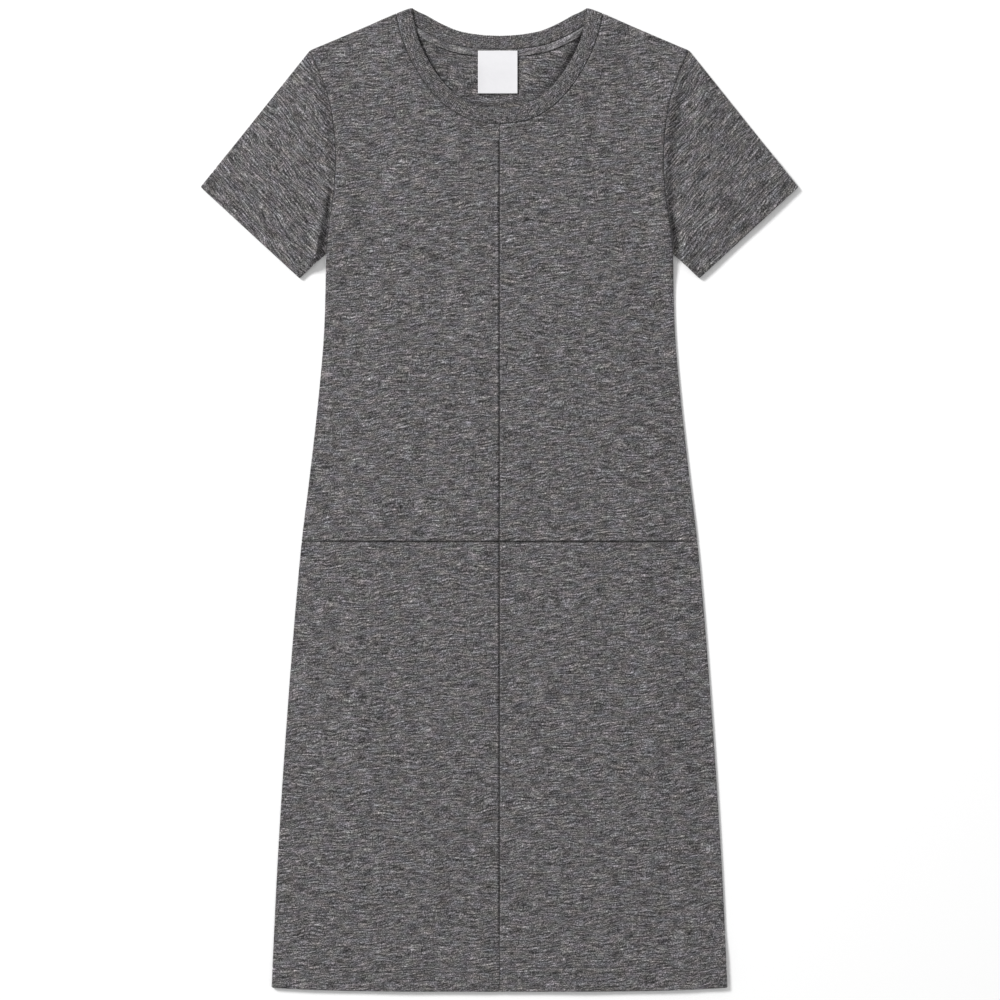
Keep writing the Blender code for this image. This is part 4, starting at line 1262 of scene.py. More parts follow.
@dataclass
class BodyPanel:
    """One of the eight panels of the body, worked out for the wearer's left half and then mirrored.

    Columns run up it from the centre seam to the side: some at set distances from the seam, some at
    shares of the width, some at set distances from the side, and some round the edge.
    """

    cut: Cut
    lie: BodyLie
    face: Face
    side: Side
    grain_shift: Pair
    shares: np.ndarray = field(default_factory=lambda: np.linspace(0.0, 1.0, 46)[:-1])
    kind: ClassVar[str] = ""

    @property
    def node(self) -> str:
        """The name of the CAD node."""
        return f"{self.face.value}_{self.kind}_{self.side.word}"

    @property
    def front(self) -> bool:
        """Whether the panel is in the front."""
        return self.face is Face.FRONT

    @property
    def centre(self) -> np.ndarray:
        """The x of the columns at set distances from the centre seam."""
        return SEAM_GAP / 2 + SEAM_STEPS

    @property
    def count(self) -> int:
        """How many columns there are."""
        return len(SEAM_STEPS) + len(self.shares) + len(EDGE_INSETS) + len(ROUND_ANGLES)

    def rim(self, y: np.ndarray) -> tuple[np.ndarray, np.ndarray, np.ndarray]:
        """For the columns round the edge: the outline's half width, H there, and how far the side is
        sewn to the other layer, 1 below the underarm and 0 above it."""
        y = y[:, -len(ROUND_ANGLES) :]
        edge = self.cut.half_width(y, self.face)
        under = self.cut.underarm[1]
        sewn = 1.0 - ease(y, under - SIDE_ENDS[0], under - SIDE_ENDS[1])
        return edge, self.lie.height(edge, y, self.side), sewn

    def places(self, y: np.ndarray, depth: np.ndarray) -> tuple[np.ndarray, np.ndarray, np.ndarray]:
        """Where the columns are.

        Args:
            y: heights, as (row, column).
            depth: how deep the skin is at each, in the same shape.

        Returns:
            Their x, how far each has turned round the side (1 not at all, 0 half way), and how much
            further its grain has run than its x, since the cloth follows a half circle there.
        """
        outline = self.cut.half_width(y, self.face)
        first = len(SEAM_STEPS)
        flat = first + len(self.shares)
        bend = flat + len(EDGE_INSETS)
        start = SEAM_GAP / 2 + SEAM_ZONE
        x = np.empty_like(y)
        x[:, :first] = self.centre
        x[:, first:flat] = start + self.shares * (outline[:, first:flat] - EDGE_INSETS[0] - start)
        near = self.lie.height(outline[:, flat:bend], y[:, flat:bend], self.side) / 2
        least = np.maximum(near, EDGE_INSETS[-1] - EDGE_CLEAR) + EDGE_CLEAR
        spread = (EDGE_INSETS - EDGE_INSETS[-1]) / (EDGE_INSETS[0] - EDGE_INSETS[-1])
        x[:, flat:bend] = outline[:, flat:bend] - least - (EDGE_INSETS[0] - least) * spread
        edge, height, sewn = self.rim(y)
        x[:, bend:] = edge - edge_inset(sewn * depth[:, bend:], height, ROUND_ANGLES)
        turned = np.ones_like(y)
        turned[:, bend:] = 1.0 - sewn * (1.0 - np.sin(ROUND_ANGLES))
        extra = np.zeros_like(y)
        extra[:, bend:] = sewn * height / 2 * ((pi / 2 - ROUND_ANGLES) - np.cos(ROUND_ANGLES))
        return x, turned, extra

    def from_edge(self, y: np.ndarray) -> np.ndarray:
        """The distance from the side seam or armhole, measured on the cloth, where columns turn."""
        far = np.full_like(y, 1.0)
        _, height, sewn = self.rim(y)
        round_it = blend(1.0 - np.cos(ROUND_ANGLES), ROUND_ANGLES, sewn)
        far[:, -len(ROUND_ANGLES) :] = height / 2 * round_it
        return far

    def z(self, x: np.ndarray, y: np.ndarray, depth: np.ndarray, turned: np.ndarray) -> np.ndarray:
        """Heights of a skin: full way up or down where turned is 1, half a seam's gap from the middle
        where it is 0."""
        height = self.lie.height(x, y, self.side)
        reach = SEAM_GAP / 2 + (height / 2 - SEAM_GAP / 2 - depth) * turned
        if self.front:
            return height / 2 + reach
        return height / 2 - reach + self.lie.pocket(x, y, self.side) * turned

    def grained(self, x: np.ndarray, v: np.ndarray, inner: bool) -> np.ndarray:
        """Places in the grain: x and v, shifted to a part of the cloth that is the panel's own."""
        slip = GRAIN_SLIP if inner else 0.0
        turn = self.side.value if self.front else -self.side.value
        return np.stack([turn * (x + slip) + self.grain_shift[0], v + slip + self.grain_shift[1]], axis=-1)

    def mirrored(self, x: np.ndarray, y: np.ndarray, z: np.ndarray) -> np.ndarray:
        """Points on the panel's own side of the dress."""
        return np.stack([x * self.side.value, y, z], axis=-1)

    def beads(self, row: StitchRow, sunk: float, x: np.ndarray, y: np.ndarray, pocket: bool) -> np.ndarray:
        """A row of stitches along a line of places, seen from outside.

        Args:
            row: the kind of stitches.
            sunk: how far they lie in the outer skin.
            x: the places' x, for the wearer's left.
            y: their heights up the dress.
            pocket: whether stitches in the back follow its pockets of air.

        Returns:
            Their points, as StitchRow.beads gives them.
        """
        if self.front:
            return row.beads(self.mirrored(x, y, self.lie.height(x, y, self.side) - sunk))
        under = self.lie.pocket(x, y, self.side) if pocket else np.zeros_like(x)
        return row.beads(self.mirrored(x, y, under + sunk), -1.0)

    def in_seam(self, x: np.ndarray, y: np.ndarray) -> np.ndarray:
        """Beads of near-black thread along a line of places, in a seam's groove, painting its shade."""
        return self.beads(SEAM_ROW, SEAM_SUNK, x, y, True)

    def seam_lines(self) -> list[np.ndarray]:
        """The beads in the panel's own seams."""
        raise NotImplementedError

    def skin(self, inner: bool) -> Skin:
        """One skin of the panel, on its grid, for its own side."""
        raise NotImplementedError

    def build(self) -> bpy.types.Object:
        """The panel."""
        return make_wall(f"{self.node}_cloth", self.skin(False), self.skin(True), two_sided=True)

    def sheet(self) -> Sheet:
        """The panel's cut, and what it lies on."""
        raise NotImplementedError

    def under(self) -> tuple[str, ...]:
        """The name of the back panel that a front one lies on."""
        return (f"back_{self.kind}_{self.side.word}_cloth",) if self.front else ()


@dataclass
class Bodice(BodyPanel):
    """A bodice panel: level rows from the waist to the underarm, then rows that fan up to the neckline
    and the shoulder, where the last of them go round the edge."""

    kind: ClassVar[str] = "bodice"

    def __post_init__(self) -> None:
        """Sets the columns by where their upper ends are: on the neck seam and the shoulder seam."""
        fine = along_curve(self.cut.neck(self.face), np.linspace(0.0, 1.0, 801))
        run = np.concatenate([[0.0], np.cumsum(np.hypot(*np.diff(fine, axis=0).T))])
        start = SEAM_GAP / 2 + SEAM_ZONE
        first = np.interp(start, fine[:, 0], run)
        at = np.linspace(first, run[-1], int((run[-1] - first) / NECK_STEP) + 1)
        neck_x = np.interp(at, run, fine[:, 0])
        neck_y = np.interp(at, run, fine[:, 1])
        tip_x = self.cut.shoulder_tip[0]
        shoulder_x = np.linspace(
            self.cut.shoulder_neck[0], tip_x - EDGE_INSETS[0], SHOULDER_COLUMNS, endpoint=False
        )[1:]
        field_x = np.concatenate([neck_x, shoulder_x])
        field_y = np.concatenate([neck_y, self.cut.shoulder_y(shoulder_x)])
        widths = self.cut.half_width(field_y, self.face) - EDGE_INSETS[0] - start
        self.shares = (field_x - start) / widths
        round_insets = FLAT_HEIGHT / 2 * (1.0 - np.cos(ROUND_ANGLES))
        edge_tops = self.cut.shoulder_y(tip_x - np.concatenate([EDGE_INSETS, round_insets]))
        centre_tops = np.interp(self.centre, fine[:, 0], fine[:, 1])
        self.tops = np.concatenate([centre_tops, field_y, edge_tops])
        self.on_shoulder = (np.arange(self.count) >= len(SEAM_STEPS) + len(neck_x) - 1).astype(float)
        self.neck_line = fine[::8]

    def inset(self, depth: np.ndarray, height: np.ndarray, angle: float) -> np.ndarray:
        """How far below its top each column is at an angle of the shoulder's round: the half circle's
        inset, over the cosine of the seam's slope."""
        return edge_inset(self.on_shoulder * depth, height, angle) / self.cut.shoulder_cosine

    def skin(self, inner: bool) -> Skin:
        """One skin of the panel, on its grid, for its own side."""
        depth, rounding = skin_depth(inner)
        low = self.cut.waist_y + SEAM_GAP / 2
        under = self.cut.underarm[1]
        field_x = np.linspace(SEAM_ZONE, self.cut.shoulder_tip[0], self.count - len(self.centre))
        height = self.lie.height(np.concatenate([self.centre, field_x]), self.tops, self.side)
        round_depths = [
            depth + rolled(height / 2 * angle, rounding) * self.on_shoulder for angle in ROUND_ANGLES
        ]
        round_rows = [
            self.tops - self.inset(e, height, angle) for e, angle in zip(round_depths, ROUND_ANGLES)
        ]
        first = self.tops - self.inset(depth, height, ROUND_ANGLES[0])
        levels = np.concatenate(
            [
                low + SEAM_STEPS,
                np.arange(low + SEAM_ZONE, under - UNDERARM_ROWS[0], FIELD_STEP),
                np.linspace(under - UNDERARM_ROWS[1], under, 5),
            ]
        )
        rows = [np.full(self.count, level) for level in levels]
        rows += [blend(under, first, share) for share in FAN]
        y = np.array(rows + round_rows)
        e = np.full_like(y, depth)
        e[len(rows) :] = np.array(round_depths)
        angles = np.concatenate([np.full(len(rows), pi / 2), ROUND_ANGLES])[:, None]
        x, _, _ = self.places(y, e)
        away = np.minimum(np.minimum(x - SEAM_GAP / 2, y - low), self.from_edge(y))
        from_neck = distance_to(self.neck_line, x, y)
        away = np.where(self.on_shoulder > 0.5, away, np.minimum(away, from_neck))
        e = np.clip(e + rolled(away, rounding), 0.0, CLOTH)
        x, turned, extra = self.places(y, e)
        over = 1.0 - self.on_shoulder * (1.0 - np.sin(angles))
        z = self.z(x, y, e, turned * over)
        further = self.on_shoulder * height / 2 * ((pi / 2 - angles) - np.cos(angles))
        return Skin(self.mirrored(x, y, z), self.grained(x + extra, y + further, inner))

    def seam_lines(self) -> list[np.ndarray]:
        """The beads along the waist, the armhole, the front neck, and the centre on the wearer's left."""
        x = np.linspace(1.0 * MM, self.cut.waist_half - 3.0 * MM, 120)
        groups = [self.in_seam(x, np.full_like(x, self.cut.waist_y))]
        hole = self.cut.armhole_line(self.face, np.linspace(0.03, 0.96, 120))
        groups.append(self.in_seam(hole[:, 0] + CURVED_SEAM_GAP / 2, hole[:, 1]))
        if self.front:
            neck = along_curve(self.cut.neck_front, np.linspace(0.0, 0.97, 120))
            groups.append(self.in_seam(neck[:, 0] - 0.1 * MM, neck[:, 1] + 0.15 * MM))
        if self.side is Side.LEFT:
            top = self.cut.neck(self.face)[0][1] - 1.0 * MM
            y = np.linspace(self.cut.waist_y + 1.0 * MM, top, 240)
            groups.append(self.in_seam(np.zeros_like(y), y))
        return groups

    def sheet(self) -> Sheet:
        """The panel's cut, and what it lies on."""
        return Sheet((0.205, 0.545), 0.0875 if self.front else 0.0944, self.under())


@dataclass
class Skirt(BodyPanel):
    """A skirt panel: down from the waist to the hem, round its fold, and up again inside."""

    kind: ClassVar[str] = "skirt"

    def line_shift(self, x: np.ndarray) -> np.ndarray:
        """How much nearer the edge the hem's stitch lines run in the front, where the hem twists."""
        return TWIST * ease(-x * self.side.value, *TWIST_FROM_X) if self.front else np.zeros_like(x)

    def hem_lines(self, x: np.ndarray, y: np.ndarray) -> np.ndarray:
        """How deep the stitch lines press in: a bell across each of the two."""
        up = y - self.cut.hem_y(x) + self.line_shift(x)
        return HEM_LINE_DEPTH * sum(bell(up, line, HEM_LINE_WIDTH) for line in HEM_LINES)

    def skin(self, inner: bool) -> Skin:
        """One skin of the panel, on its grid, for its own side."""
        depth, rounding = skin_depth(inner)
        radius = HEM_FOLD - depth
        ones = np.ones(self.count)
        hem = self.cut.hem_y(self.places(self.cut.hem_side_y * ones[None], 0.0 * ones[None])[0][0])
        top = self.cut.waist_y - SEAM_GAP / 2
        start, last = top - SEAM_ZONE, hem + HEM_FIELD_ENDS
        rows = [(top - step) * ones for step in (*SEAM_STEPS, SEAM_ZONE)]
        field_rows = int((start - last.min()) / FIELD_STEP)
        rows += [blend(start, last, share) for share in np.linspace(0.0, 1.0, field_rows)[1:]]
        rows += [hem + step * MM for step in HEM_ROWS]
        ply = (np.arange(len(rows) + len(FOLD_TURN) + len(HEM_TURNED_UP)) < len(rows))[:, None]
        depths = [depth] * len(rows)
        v = list(rows)
        for angle in FOLD_TURN:
            rows.append(hem + HEM_FOLD - radius * sin(angle))
            depths.append(HEM_FOLD - radius * cos(angle))
            v.append(hem + HEM_FOLD * (1.0 - angle))
        for step in HEM_TURNED_UP:
            rows.append(hem + step)
            depths.append(HEM_FOLD + radius)
            v.append(hem + HEM_FOLD * (2.0 - pi) - step)
        y = np.array(rows)
        base = np.array(depths)[:, None] * np.ones_like(y)
        x, _, _ = self.places(y, base)
        away = np.minimum(x - SEAM_GAP / 2, np.where(ply, top - y, 1.0))
        away = np.minimum(away, self.from_edge(y))
        inside = len(HEM_TURNED_UP) + len(FOLD_TURN) // 2 + 1
        facing = np.where(np.arange(len(rows)) < len(rows) - inside, 1.0, -1.0)[:, None]
        folding = np.abs(base - HEM_FOLD) < FOLD_PART * radius
        e = base + np.where(folding, 0.0, rolled(away, rounding) * facing)
        if not inner:
            e = e + np.where(ply, self.hem_lines(x, y), 0.0)
        x, turned, extra = self.places(y, e)
        z = self.z(x, y, e, turned)
        return Skin(self.mirrored(x, y, z), self.grained(x + extra, np.array(v), inner))

    def seam_lines(self) -> list[np.ndarray]:
        """The beads along the centre, on the wearer's left only."""
        y = np.linspace(self.cut.hem_y(0.0) + 2.5 * MM, self.cut.waist_y - 1.0 * MM, 240)
        return [self.in_seam(np.zeros_like(y), y)]

    def stitches(self) -> list[np.ndarray]:
        """The beads of the hem's two rows of stitches, which lie in the two pressed lines."""
        x = np.linspace(2.0 * MM, self.cut.side_seam[0][1] - 6.0 * MM, 120)
        sunk = HEM_LINE_DEPTH - HEM_ROW_PROUD
        edge = self.cut.hem_y(x) - self.line_shift(x)
        return [self.beads(HEM_ROW, sunk, x, edge + up, False) for up in HEM_LINES]

    def sheet(self) -> Sheet:
        """The panel's cut, and what it lies on."""
        return Sheet((0.232, 0.48), 0.106, self.under())


# ---------------------------------------------------------------------------------------------------
# Sleeves

CUFF_CLEAR = HEM_DEPTH + 3.5 * MM
CUFF_ROWS = (*np.arange(27.0, 17.0, -HEM_LINE_STEP), 15.0, 12.0, 9.0, 6.0, 4.0, 2.6, 1.8)
CUFF_TURNED_UP = np.array([2.4, 5.0, 9.0, 14.0, 19.0, 23.0, 24.0]) * MM
CUFF_SHEET = Sheet((0.40, 0.20), 0.041)
UNDERARM_GROOVE = 0.4 * MM
UNDERARM_GROOVE_WIDTH = 0.45 * MM


@dataclass
class Sleeve:
    """A set-in short sleeve, cut in one and sewn at the underarm, with its cuff turned up inside.

    A ring round it runs down the front from the shoulder fold, round the underarm seam, back over the
    back layer and round the fold. Rings run from the armhole to the cuff and up again inside.
    """

    cut: Cut
    body: BodyLie
    lie: SleeveLie
    side: Side
    grain_shift: Pair
    across: np.ndarray = field(default_factory=lambda: np.linspace(0.028, 0.972, 46))
    lines: Pair = (24.4 * MM, 19.7 * MM)

    @property
    def node(self) -> str:
        """The name of the CAD node."""
        return f"sleeve_{self.side.word}"

    def track(self, face: Face, across: np.ndarray, rings: np.ndarray) -> Track:
        """Places on straight lines from the armhole to the cuff.

        Args:
            face: front or back layer.
            across: shares of the way from the shoulder fold to the underarm.
            rings: for each ring a pair (k, c): it lies k times the line's length plus c from the cuff.

        Returns:
            The places, for the wearer's left. The sleeve's own edge of the armhole is a little outside
            the body's, and the cuff runs straight from corner to corner.
        """
        top, low = np.array(self.cut.cuff_top), np.array(self.cut.cuff_underarm)
        start = self.cut.armhole_line(face, across) + np.array([CURVED_SEAM_GAP, 0.0])
        end = blend(top, low, across[:, None])
        length = np.hypot(*(end - start).T)
        cuff = rings[:, :1] * length + rings[:, 1:]
        point = blend(end, start, (cuff / length)[..., None])
        return Track(across * np.ones((len(rings), 1)), length - cuff, cuff, point)

    def height(self, track: Track, width: np.ndarray) -> np.ndarray:
        """H at places on the sleeve, whose rings are of this width."""
        hole = self.cut.armhole_line(Face.FRONT, track.across[:1])
        met = self.body.height(hole[..., 0], hole[..., 1], self.side)
        return self.lie.height(track, width, met)

    def rings(self, inner: bool) -> tuple[np.ndarray, np.ndarray, np.ndarray]:
        """For each ring its pair (k, c), its depth, and how far down the cloth it lies beyond the cuff.

        Returns:
            Arrays with one row for each ring: close together at the armhole, then even shares, close
            together at the stitch lines, round the cuff's fold, and up inside.
        """
        depth = skin_depth(inner)[0]
        radius = HEM_FOLD - depth
        last = SEAM_STEPS[-1]
        pairs = [(1.0, -step) for step in SEAM_STEPS]
        pairs += [(1.0 - s, blend(-last, CUFF_CLEAR, s)) for s in np.linspace(0.0, 1.0, 63)[1:] ** 1.5]
        pairs += [(0.0, step * MM) for step in CUFF_ROWS]
        depths = [depth] * len(pairs)
        beyond = [0.0] * len(pairs)
        for angle in FOLD_TURN:
            pairs.append((0.0, HEM_FOLD - radius * sin(angle)))
            depths.append(HEM_FOLD - radius * cos(angle))
            beyond.append(-HEM_FOLD * angle + radius * sin(angle))
        for step in CUFF_TURNED_UP:
            pairs.append((0.0, step))
            depths.append(HEM_FOLD + radius)
            beyond.append(HEM_FOLD * (2.0 - pi) - 2 * step)
        return np.array(pairs), np.array(depths), np.array(beyond)

    def skin(self, inner: bool) -> Skin:
        """One skin of the sleeve, on its grid of rings, for its own side."""
        pairs, depths, beyond = self.rings(inner)
        rounding = skin_depth(inner)[1]
        ply = (np.arange(len(pairs)) < len(pairs) - len(CUFF_TURNED_UP) - len(FOLD_TURN))[:, None]

        def depth_at(seam: np.ndarray, cuff: np.ndarray) -> np.ndarray:
            """Depth on either layer: rolled at the armhole, and pressed outside along the stitch lines."""
            e = depths[:, None] + rolled(seam, rounding) * ply
            if inner:
                return e
            return e + HEM_LINE_DEPTH * sum(bell(cuff, line, HEM_LINE_WIDTH) for line in self.lines) * ply

        rim = self.track(Face.FRONT, np.array([0.0, 1.0]), pairs)
        width = np.hypot(*(rim.point[:, 1] - rim.point[:, 0]).T)[:, None]
        rim_height = self.height(rim, width)
        front = self.track(Face.FRONT, self.across, pairs)
        back = self.track(Face.BACK, self.across, pairs)
        front_z = self.height(front, width) - depth_at(front.seam, front.cuff)
        back_z = depth_at(back.seam, back.cuff)
        turn = np.concatenate([ROUND_ANGLES, -ROUND_ANGLES[-2::-1]])
        folds = []
        for end, angles, groove in ((1, turn, 0.0 if inner else UNDERARM_GROOVE), (0, -turn, 0.0)):
            at = slice(end, end + 1)
            half = rim_height[:, at] / 2
            depth = depth_at(rim.seam[:, at], rim.cuff[:, at])
            depth = depth + groove * bell(half * angles, 0.0, UNDERARM_GROOVE_WIDTH)
            layers = (front.point[:, -end], back.point[:, -end])
            folds.append(self.fold(rim.point[:, at], half, layers, angles, depth))
        front_layer = np.concatenate([front.point, front_z[..., None]], axis=-1)
        back_layer = np.concatenate([back.point, back_z[..., None]], axis=-1)[:, ::-1]
        points = np.concatenate([front_layer, folds[0], back_layer, folds[1]], axis=1)
        grain = self.grained(points, rim.point[:, 0], beyond, len(turn), inner)
        return Skin(points * np.array([self.side.value, 1.0, 1.0]), grain)

    def fold(
        self,
        rim: np.ndarray,
        half: np.ndarray,
        layers: tuple[np.ndarray, np.ndarray],
        angles: np.ndarray,
        depth: np.ndarray,
    ) -> np.ndarray:
        """Points round one edge of the sleeve.

        Args:
            rim: the edge in plan, as (row, 1, 2).
            half: half of H there.
            layers: the last column of the front layer and of the back layer.
            angles: angles round the half circle, from above or from below.
            depth: the skin's depth for each row and angle.

        Returns:
            Points as (row, angle, 3), on a half circle of radius H/2 - e about the middle height.
        """
        front, back = layers
        middle = (front + back) / 2
        above = np.sign(angles)[None, :, None]
        near = np.where(above > 0, front[:, None], np.where(above < 0, back[:, None], middle[:, None]))
        inward = near - rim
        inward = inward / np.linalg.norm(inward, axis=-1, keepdims=True)
        plan = rim + inward * edge_inset(depth, 2 * half, angles)[..., None]
        z = half + (half - depth) * np.sin(angles)
        return np.concatenate([plan, z[..., None]], axis=-1)

    def grained(
        self, points: np.ndarray, shoulder: np.ndarray, beyond: np.ndarray, turn: int, inner: bool
    ) -> np.ndarray:
        """Places in the grain, which runs along the cuff and, across it, up towards the armhole.

        Args:
            points: the skin's points.
            shoulder: the sleeve's edge in plan at the shoulder fold.
            beyond: how far each ring has gone round the cuff's fold.
            turn: how many columns each fold has.
            inner: whether this is the inner skin.

        Returns:
            (row, column, 2), with one more column than the points. The back layer is unrolled past
            the shoulder fold, so its distance along the cuff is twice the fold's less its own.
        """
        top = np.array(self.cut.cuff_top)
        along = np.array(self.cut.cuff_underarm) - top
        along = along / np.linalg.norm(along)
        up = np.array([along[1], -along[0]])
        plan = points[..., :2] - top
        u, v = plan @ along, plan @ up
        column = np.arange(u.shape[1])
        half = turn // 2
        unrolled = (column >= len(self.across) + half) & (column < 2 * len(self.across) + turn + half)
        u = np.where(unrolled, 2 * ((shoulder - top) @ along)[:, None] - u, u)
        u = np.concatenate([u, u[:, :1]], axis=1)
        v = np.concatenate([v, v[:, :1]], axis=1) + beyond[:, None]
        slip = GRAIN_SLIP if inner else 0.0
        return np.stack([self.grain_shift[0] - u - slip, v + slip + self.grain_shift[1]], axis=-1)

    def build(self) -> bpy.types.Object:
        """The sleeve."""
        return make_wall(f"{self.node}_cloth", self.skin(False), self.skin(True), closed=True)

    def stitches(self) -> list[np.ndarray]:
        """The beads of the cuff's two rows of stitches, front and back, in the pressed lines."""
        groups = []
        sunk = HEM_LINE_DEPTH - HEM_ROW_PROUD
        width = hypot(*np.subtract(self.cut.cuff_underarm, self.cut.cuff_top))
        for line in self.lines:
            for face in Face:
                track = self.track(face, np.linspace(0.035, 0.965, 90), np.array([[0.0, line]]))
                x, y = track.point[0, :, 0] * self.side.value, track.point[0, :, 1]
                z = self.height(track, width)[0] - sunk if face is Face.FRONT else np.full_like(x, sunk)
                groups.append(HEM_ROW.beads(np.column_stack([x, y, z]), 1.0 if face is Face.FRONT else -1.0))
        return groups


# ---------------------------------------------------------------------------------------------------
# The neck


@dataclass
class Neckband:
    """A doubled band of fine rib round the neck: one ring, square at its seam and round at its fold."""

    cut: Cut
    lie: BodyLie
    wall: float = 2.0 * MM
    widths_front: Pair = (15.6 * MM, 15.2 * MM)
    widths_back: Pair = (14.0 * MM, 15.5 * MM)
    widens_by: float = 0.6
    turns_from: float = 0.72
    rib: float = 2.05 * MM
    rib_height: float = 0.15 * MM
    rib_sharpness: float = 0.22
    step: float = 0.47 * MM
    pillow: Pair = (0.3 * MM, 0.6 * MM)
    corner: float = 0.8 * MM
    corner_swell: Pair = (0.3, 0.4)
    fold_depth: float = 1.35 * MM
    fold_reach: float = 2.4
    upper: tuple[float, ...] = (0.07, 0.14, 0.26, 0.4, 0.55, 0.7, 0.82)
    lower: tuple[float, ...] = (0.75, 0.5, 0.25, 0.1)
    grain_shift: Pair = (0.17015, 0.31)
    node: str = "neckband"
    sheet: Sheet = Sheet((0.57, 0.017))

    def edges(self, face: Face, shares: np.ndarray) -> tuple[np.ndarray, np.ndarray]:
        """The band's outer and inner edge.

        Args:
            face: front or back.
            shares: shares of the way along the seam from the centre to the shoulder, in any shape.

        Returns:
            Plan points. The inner edge lies a band's width square to the seam, and is drawn to the
            neck's peak near the shoulder.
        """
        seam = self.cut.neck(face)
        widths = self.widths_front if face is Face.FRONT else self.widths_back
        outer = along_curve(seam, shares)
        ahead = along_curve(seam, np.clip(shares + 0.01, 0.0, 1.0))
        behind = along_curve(seam, np.clip(shares - 0.01, 0.0, 1.0))
        along = np.where(shares[..., None] <= 0.0, np.array([1.0, 0.0]), ahead - behind)
        along = along / np.linalg.norm(along, axis=-1, keepdims=True)
        inward = np.stack([-along[..., 1], along[..., 0]], axis=-1)
        to_peak = np.array(self.cut.neck_peak) - np.array(self.cut.shoulder_neck)
        width = blend(*widths, ease(shares, 0.0, self.widens_by)[..., None])
        turn = ease(shares, self.turns_from, 1.0)[..., None]
        inner = outer + inward * width * (1.0 - turn) + to_peak * turn
        return outer + inward * CURVED_SEAM_GAP, inner

    def pillow_at(self, share: np.ndarray) -> np.ndarray:
        """How far below its middle line the upper face is: by the square of the way out to either edge."""
        return np.where(share > 0.5, self.pillow[1], self.pillow[0]) * (2.0 * share - 1.0) ** 2

    def section(self) -> tuple[np.ndarray, np.ndarray, np.ndarray]:
        """The band's cross-section.

        Returns:
            Shares across it, depths, and outward directions as (across, depth) pairs, all round: a
            rounded corner at the seam, the upper face, the fold, and the lower face back.
        """
        radius, width = self.wall / 2, self.widths_front[0]
        a = np.radians(np.linspace(90.0, 0.0, 5))
        b = np.radians(np.linspace(90.0, -90.0, 13))
        corner = self.corner * (1.0 - np.sin(a)) / width
        upper = np.array(self.upper)
        fold = 1.0 - np.where(b > 0.0, self.fold_reach, 1.0) * radius / width * (1.0 - np.cos(b))
        face = np.where(b > 0.0, self.pillow_at(fold), self.wall)
        across = np.concatenate([corner, upper, fold, self.lower, [self.corner / width, 0.0]])
        depth = np.concatenate(
            [
                self.corner * (1.0 - np.cos(a)) + self.pillow_at(corner),
                self.pillow_at(upper),
                blend(self.fold_depth, face, np.abs(np.sin(b))),
                np.full(len(self.lower) + 1, self.wall),
                [self.wall - self.corner],
            ]
        )
        sideways, upwards = self.corner_swell
        out = np.concatenate(
            [
                np.column_stack([-sideways * np.sin(a), -upwards * np.cos(a)]),
                np.tile([0.0, -1.0], (len(self.upper), 1)),
                np.column_stack([np.cos(b), -np.sin(b)]),
                np.tile([0.0, 1.0], (len(self.lower), 1)),
                [[0.0, sideways], [-sideways, 0.0]],
            ]
        )
        return across, depth, out

    def half(self, face: Face) -> tuple[np.ndarray, np.ndarray]:
        """Sections of one layer from the centre to the shoulder fold.

        Args:
            face: front or back.

        Returns:
            Points as (section, place round it, 3), and how far along the band each section is. Level
            sections follow the seam, then the last follow a quarter circle round the fold. Each is
            drawn in or let out by the rib's wave.
        """
        across, depth, out = self.section()
        fine = along_curve(self.cut.neck(face), np.linspace(0.0, 1.0, 401))
        length = np.hypot(*np.diff(fine, axis=0).T).sum()
        height = self.lie.band_tops[-1][1]
        level = np.arange(0.0, length - height / 2, self.step)
        angle = np.linspace(pi / 2, 0.0, 9)
        run = np.concatenate([level, length - height / 2 + height / 2 * (pi / 2 - angle)])
        turn = np.concatenate([np.full(len(level), pi / 2), angle])[:, None]
        bent = (np.arange(len(run)) > len(level))[:, None]
        wave = np.cos(2 * pi * run / self.rib) + self.rib_sharpness * np.cos(4 * pi * run / self.rib)
        raised = (self.rib_height * wave)[:, None]
        e = depth + raised * out[:, 1]
        shares = np.where(bent, 1.0 - edge_inset(e, height, turn) / length, 1.0 - height / 2 / length)
        shares[: len(level)] = (level / length)[:, None]
        outer, inner = self.edges(face, shares)
        q = across + raised * out[:, 0] / np.linalg.norm(inner - outer, axis=-1)
        plan = outer + q[..., None] * (inner - outer)
        reach = (height / 2 - e) * np.sin(turn)
        if face is Face.FRONT:
            z = np.where(bent, height / 2 + reach, self.lie.band_top(plan[..., 1]) - e)
        else:
            z = height / 2 - reach
        return np.concatenate([plan, z[..., None]], axis=-1), run

    def build(self) -> bpy.types.Object:
        """The whole band: front and back halves, and both mirrored."""
        front, front_run = self.half(Face.FRONT)
        back, back_run = self.half(Face.BACK)
        left = np.concatenate([front, back[-2::-1]])
        run = np.concatenate([front_run, front_run[-1] + back_run[-1] - back_run[-2::-1]])
        right = left[-2:0:-1] * np.array([-1.0, 1.0, 1.0])
        run = np.concatenate([run, 2 * run[-1] - run[-2:0:-1], [2 * run[-1]]])
        across, depth, _ = self.section()
        step = np.hypot(np.diff(across) * self.widths_front[0], np.diff(depth))
        round_it = np.concatenate([[0.0], np.cumsum(step), [step.sum() + self.wall]])
        u, v = np.meshgrid(round_it, run, indexing="xy")
        grain = np.stack([v, u], axis=-1) + np.array(self.grain_shift)
        return make_ring("neckband_rib", Skin(np.concatenate([left, right]), grain))


